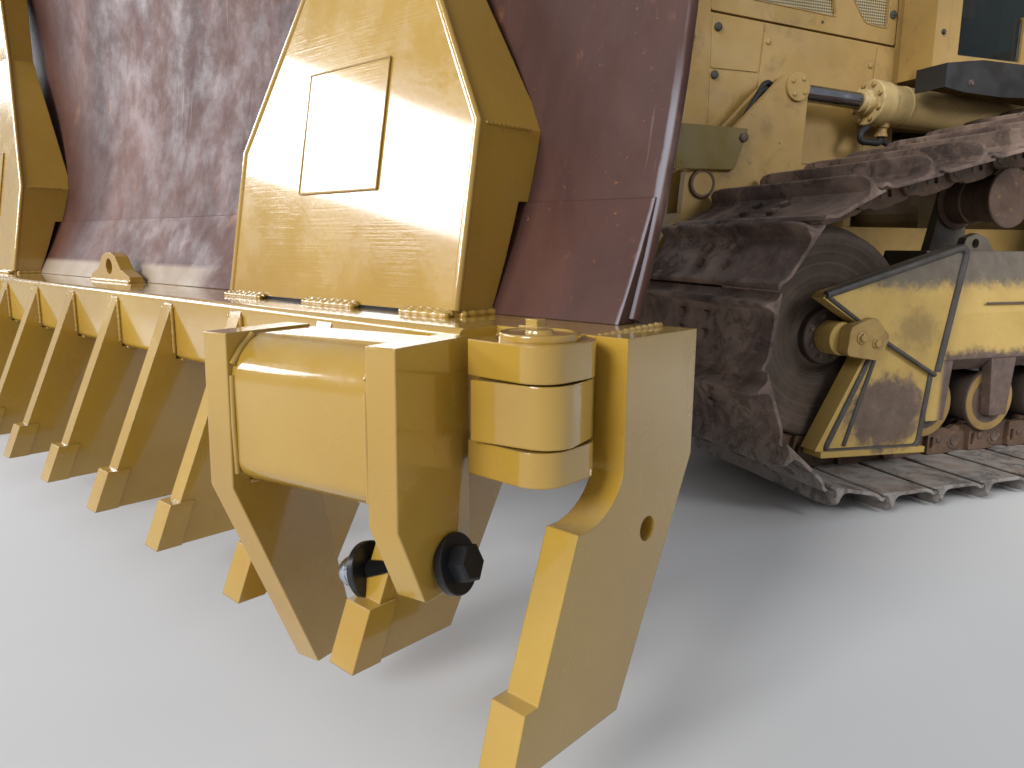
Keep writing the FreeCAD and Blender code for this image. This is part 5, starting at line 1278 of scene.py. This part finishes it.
def rake_welds():
    w = Piece("rake_welds", "blade", "weld", BLADE)
    half, neck = 0.392, 0.075
    knee, throat, head = BEAM_TOP + 0.334, BEAM_TOP + 0.87, 2.115
    for side in (-1, 1):
        mid = side * TOWER_MIDDLE
        y = tower_y(BEAM_TOP) - 0.004
        for a, b in ((-0.392, -0.23), (-0.06, 0.12), (0.26, 0.392)):
            for lift, out in ((0.006, 0.0), (0.003, 0.010)):
                w.bead([(mid + a, y - out, BEAM_TOP + lift), (mid + b, y - out, BEAM_TOP + lift)], 0.0085)
        for way in (-1, 1):
            w.bead([(mid + way * (half + 0.004), tower_y(BEAM_TOP) + 0.01, BEAM_TOP + 0.003),
                (mid + way * (half + 0.004), -0.66, BEAM_TOP + 0.003)], 0.0085)
            edge = [(mid + way * a, tower_y(z) + 0.006, z) for a,
                z in ((half, BEAM_TOP + 0.01), (half, knee), (neck, throat))]
            edge = [(x - way * 0.002, y - 0.003, z) for x, y, z in edge]
            w.tube(edge + [(mid + way * neck, face_y(2.08) - 0.066, head - 0.01)], 0.0085, 12)
            w.bead([(mid + way * half, tower_y(knee) + 0.02, knee),
                (mid + way * half, face_y(knee) - 0.03, knee)], 0.004)
    for x in TINES:
        for way in (-1, 1):
            side = x + way * 0.0245
            w.bead([(side, RAKE_FRONT - 0.004, BEAM_FOOT + 0.012),
                (side, RAKE_FRONT - 0.003, BEAM_TOP - 0.022)], 0.0055)
            w.bead([(side, RAKE_FRONT + 0.01, BEAM_FOOT - 0.003),
                (side, RAKE_FRONT + 0.168, BEAM_FOOT - 0.003)], 0.0055)
    for side in (-1, 1):
        inner = side * (2.036 - 0.055)
        w.bead([(inner - side * 0.002, RAKE_FRONT + 0.09, BEAM_TOP - 0.004),
            (inner - side * 0.002, RAKE_FRONT + 0.262, BEAM_TOP + 0.002)], 0.006)
        w.bead([(side * 1.79, RAKE_FRONT + 0.086, BEAM_TOP - 0.01),
            (side * 1.79, RAKE_FRONT + 0.086, BEAM_FOOT)], 0.006)
        y0 = TOWER_FRONT + 0.04
    for y in (y0 - 0.003, y0 + 0.043):
        w.bead([(-0.16, y, BEAM_TOP + 0.002), (0.16, y, BEAM_TOP + 0.002)], 0.006)
    w.done(60)
    # painted shade: thin black strips along each tower's foot on the beam, standing for the dark crevice
    # between the weld beads
    foot_shade = Piece("tower_foot_shade", "blade", "black", BLADE)
    for side in (-1, 1):
        mid = side * TOWER_MIDDLE
        foot_shade.box(mid - 0.385, mid + 0.385, tower_y(BEAM_TOP) - 0.0012, tower_y(BEAM_TOP) + 0.004,
            BEAM_TOP + 0.0005, BEAM_TOP + 0.0065)
    foot_shade.done()
    rims = Piece("plate_rims", "blade", "gold", BLADE)
    for side in (-1, 1):
        mid = side * TOWER_MIDDLE
        z0, z1 = BEAM_TOP + 0.23, BEAM_TOP + 0.48
        corners = [(mid - 0.135, z0), (mid + 0.135, z0), (mid + 0.135, z1), (mid - 0.135, z1)]
        path = [(x, tower_y(z) - 0.0035, z) for x, z in corners + corners[:1]]
        rims.tube(path, 0.0022, 6)
    rims.done()


QUARTER = [math.pi / 2 * i / 10 for i in range(11)]
KNUCKLE_FRONT = [(0.023 + 0.045 * math.sin(a), -0.025 - 0.045 * math.cos(a)) for a in QUARTER]
KNUCKLE_BACK = [(0.023 + 0.045 * math.cos(a), 0.022 + 0.045 * math.sin(a)) for a in QUARTER]


def lug_outline(left, back):
    """A knuckle seen from above: flat front, with the corners beside the end plate rounded."""
    return [(-left, -0.07)] + KNUCKLE_FRONT + KNUCKLE_BACK + [(0.015, back), (-left, back)]


def hinges():
    """Fixed knuckles with the pin, its ringed cap and the grease fitting's square head."""
    knuckles = Piece("hinge_knuckles", "blade", "gold", BLADE)
    cap = Piece("hinge_caps", "blade", "gold", BLADE)
    for side in (-1, 1):
        for z0, z1 in ((-0.05, -0.0005), (-0.188, -0.14)):
            outline = [(side * (HINGE[0] + x), HINGE[1] + y) for x, y in lug_outline(0.068, 0.084)]
            knuckles.plate([outline], "z", BEAM_TOP + z0, BEAM_TOP + z1)
        x0, x1 = sorted((side * (HINGE[0] - 0.075), side * 1.981))
        knuckles.box(x0, x1, HINGE[1] + 0.083, HINGE[1] + 0.274, BEAM_TOP - 0.188, BEAM_TOP - 0.146)
        x0, x1 = sorted((side * (HINGE[0] - 0.158), side * 1.9805))
        knuckles.box(x0, x1, HINGE[1] + 0.0825, HINGE[1] + 0.0835, BEAM_TOP - 0.146, BEAM_TOP - 0.004)
        centre = Vector((side * HINGE[0], HINGE[1], BEAM_TOP))
        knuckles.turned([(-0.2, 0.03), (-0.05, 0.03)], centre, Z, 32)
        cap.turned([(-0.001, 0.056), (0.008, 0.056), (0.0095, 0.0545), (0.0095, 0.047), (0.0075, 0.0455),
            (0.0075, 0.02), (0.0125, 0.0185), (0.0125, 0.004)],
                   centre, Z, 44)
        head = centre + Vector((-side * 0.052, 0.052, 0))
        cap.box(head.x - 0.022, head.x + 0.022, head.y - 0.013, head.y + 0.013, BEAM_TOP - 0.001,
            BEAM_TOP + 0.010)
        cap.box(head.x - 0.011, head.x + 0.011, head.y - 0.010, head.y + 0.010, BEAM_TOP + 0.008,
            BEAM_TOP + 0.020)
        cap.turned([(-0.187, 0.031), (-0.193, 0.031), (-0.196, 0.026), (-0.196, 0.004)], centre, Z, 32)
    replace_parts(knuckles.done(30, 0.0018), "wing_hinges")
    cap.done(30, 0.0012)


WING_TURN = math.radians(12)
FIRST_WASHER, SECOND_WASHER = 0.006, 0.158


def wing_frame(side):
    """The wing's own frame: its hinge axis on the beam's top, turned from folded flat."""
    return BLADE @ Matrix.Translation((side * HINGE[0], HINGE[1], BEAM_TOP)) @ Matrix.Rotation(
        side * WING_TURN, 4, "Z")


def wing(side):
    """Folding wing: near plate, rounded tube, outer tine, knuckle and the loose locking bolt."""
    name = "left" if side > 0 else "right"
    body = "rake_wing_" + name
    place = wing_frame(side) @ Matrix.Diagonal((side, 1, 1, 1))
    near, inner, outer, far = -0.096, -0.144, -0.396, -0.444
    wing = Piece("wing_" + name, body, "gold", place)
    plate = [(-0.028, 0), (-0.028, -0.354), (-0.130, -0.354), (-0.137, -0.351), (-0.192, -0.235),
        (-0.190, 0)]
    hole = [(-0.081 + u, -0.317 + v) for u, v in ring(28, 0.024)]
    wing.plate([plate, hole], "x", inner, near)
    tine = [(-0.03, 0), (-0.03, -0.24), (0.055, -0.576), (-0.042, -0.576), (-0.195, -0.226), (-0.192, 0)]
    wing.plate([tine], "x", far, outer)
    tube = [(-0.034, -0.0035)] + rounded([(-0.034, -0.0035), (-0.148, -0.0035), (-0.187, -0.045),
        (-0.187, -0.2), (-0.16, -0.222), (-0.034, -0.222)], 0.03, 5)[6:]
    wing.plate([tube], "x", outer - 0.002, inner + 0.002)
    neck = [(-0.02, 0.067), (-0.05, 0.03), (-0.1, 0.02), (-0.1, -0.03), (-0.067, -0.03), (-0.067, -0.07)]
    wing.plate([KNUCKLE_FRONT + KNUCKLE_BACK + neck], "z", -0.137, -0.053)
    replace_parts(wing.done(30, 0.0022, 3), body)
    way = Vector((0.9613, 0, 0.2756))
    foot = Vector((near, -0.081, -0.317))
    washer = [(0, 0.018), (0, 0.0418), (0.0015, 0.0435), (0.0115, 0.0435), (0.013, 0.0418), (0.013, 0.018)]
    black = Piece("wing_lock_" + name, body, "black", place)
    first = foot + way * FIRST_WASHER
    black.turned(washer, first, way, 48)
    black.turned([(0.012, 0.0285), (0.034, 0.0285), (0.0375, 0.024), (0.0375, 0.005)], first, way, 6)
    second = foot - way * SECOND_WASHER
    black.turned(washer, second, way, 48)
    black.turned([(0, 0.0168), (0.156, 0.0168)], second, way, 28)
    for k in range(30):
        black.turned([(0.0, 0.0166), (0.0012, 0.0186), (0.0024, 0.0166)],
            second + way * (0.014 + 0.0026 * k), way, 28)
    black.done(32)
    nut = Piece("wing_nut_" + name, body, "zinc", place)
    nut.turned([(-0.001, 0.0275), (-0.022, 0.0275), (-0.026, 0.0235), (-0.027, 0.0215)], second, way, 6)
    nut.turned([(-0.026, 0.0225), (-0.034, 0.0222), (-0.041, 0.0185), (-0.045, 0.0105), (-0.046, 0.002)],
        second, way, 30)
    nut.done(32)
    weld = Piece("wing_welds_" + name, body, "weld", place)
    for x in (inner - 0.002, outer + 0.002):
        weld.tube([(x, -0.187, -0.06), (x, -0.1885, -0.13), (x, -0.187, -0.205)], 0.0042, 8)
        weld.tube([(x, -0.146, -0.0045), (x, -0.168, -0.022), (x, -0.186, -0.045)], 0.005, 8)
        weld.bead([(x, -0.05, -0.222), (x, -0.165, -0.222)], 0.005)
    weld.done(60)


for side in (1, -1):
    engine_door(side)
    side_sheets(side)
    lift_cylinder(side)
    wing(side)
guard_front()
cab()
lift_details()
small_barrels()
frame_details()
moldboard()
blade_details()
rake_welds()
hinges()


# Floor, backdrop and light

KEY_POWER = 2.5
SIDE_POWER = 34
SIDE_PLACE = Vector((6.2, 2.6, 3.4))
SIDE_AIM = Vector((5.0, 0.6, 2.5))
OPENING_POWER = 310


def stage():
    ground = CAD_LOW.z - 0.002
    mesh = bpy.data.meshes.new("floor")
    size = 60
    mesh.from_pydata([(-size, -size, ground), (size, -size, ground), (size, size, ground),
        (-size, size, ground)], [], [(0, 1, 2, 3)])
    floor = bpy.data.objects.new("floor", mesh)
    bpy.context.scene.collection.objects.link(floor)
    s = Shader("pale_floor")
    s.base(s.ramp(s.noise(0.6, 8), (0.3, (0.62, 0.62, 0.62)), (0.7, (0.68, 0.68, 0.68))))
    s.set(Roughness=0.9)
    mesh.materials.append(s.material)
    world = bpy.data.worlds.new("world")
    bpy.context.scene.world = world
    world.use_nodes = True
    background = world.node_tree.nodes["Background"]
    background.inputs["Color"].default_value = (0.88, 0.93, 1.0, 1)
    background.inputs["Strength"].default_value = 0.42
    sun = bpy.data.lights.new("key", "SUN")
    sun.energy = KEY_POWER
    sun.angle = math.radians(24)
    key = bpy.data.objects.new("key", sun)
    from_front = Vector((0.42, -0.8, 0.48)).normalized()
    key.rotation_euler = from_front.to_track_quat("Z", "Y").to_euler()
    bpy.context.scene.collection.objects.link(key)
    panel = bpy.data.lights.new("side", "AREA")
    panel.shape = "RECTANGLE"
    panel.size, panel.size_y = 2.5, 2.0
    panel.energy = SIDE_POWER
    panel.spread = math.radians(50)
    side = bpy.data.objects.new("side", panel)
    side.location = SIDE_PLACE - DRAWBAR
    side.rotation_euler = SIDE_AIM.to_track_quat("Z", "Y").to_euler()
    bpy.context.scene.collection.objects.link(side)


def bright_opening():
    """A wide soft light where the near tower's face mirrors it to the camera."""
    z = BEAM_TOP + 0.33
    spot = BLADE @ Vector((TOWER_MIDDLE, tower_y(z), z))
    facing = (BLADE.to_3x3() @ Vector((0, -1, TOWER_LEAN))).normalized()
    seen = (spot - EYE).normalized()
    mirrored = seen - 2 * seen.dot(facing) * facing
    data = bpy.data.lights.new("opening", "AREA")
    data.shape = "RECTANGLE"
    data.size = 7.0
    data.size_y = 1.3
    data.energy = OPENING_POWER
    data.color = (0.93, 0.94, 1.0)
    lamp = bpy.data.objects.new("opening", data)
    lamp.matrix_world = Matrix.Translation(spot + mirrored * 7.5) @ mirrored.to_track_quat("Z",
        "Y").to_matrix().to_4x4()
    bpy.context.scene.collection.objects.link(lamp)


stage()
bright_opening()
bpy.context.scene.view_settings.view_transform = "Standard"
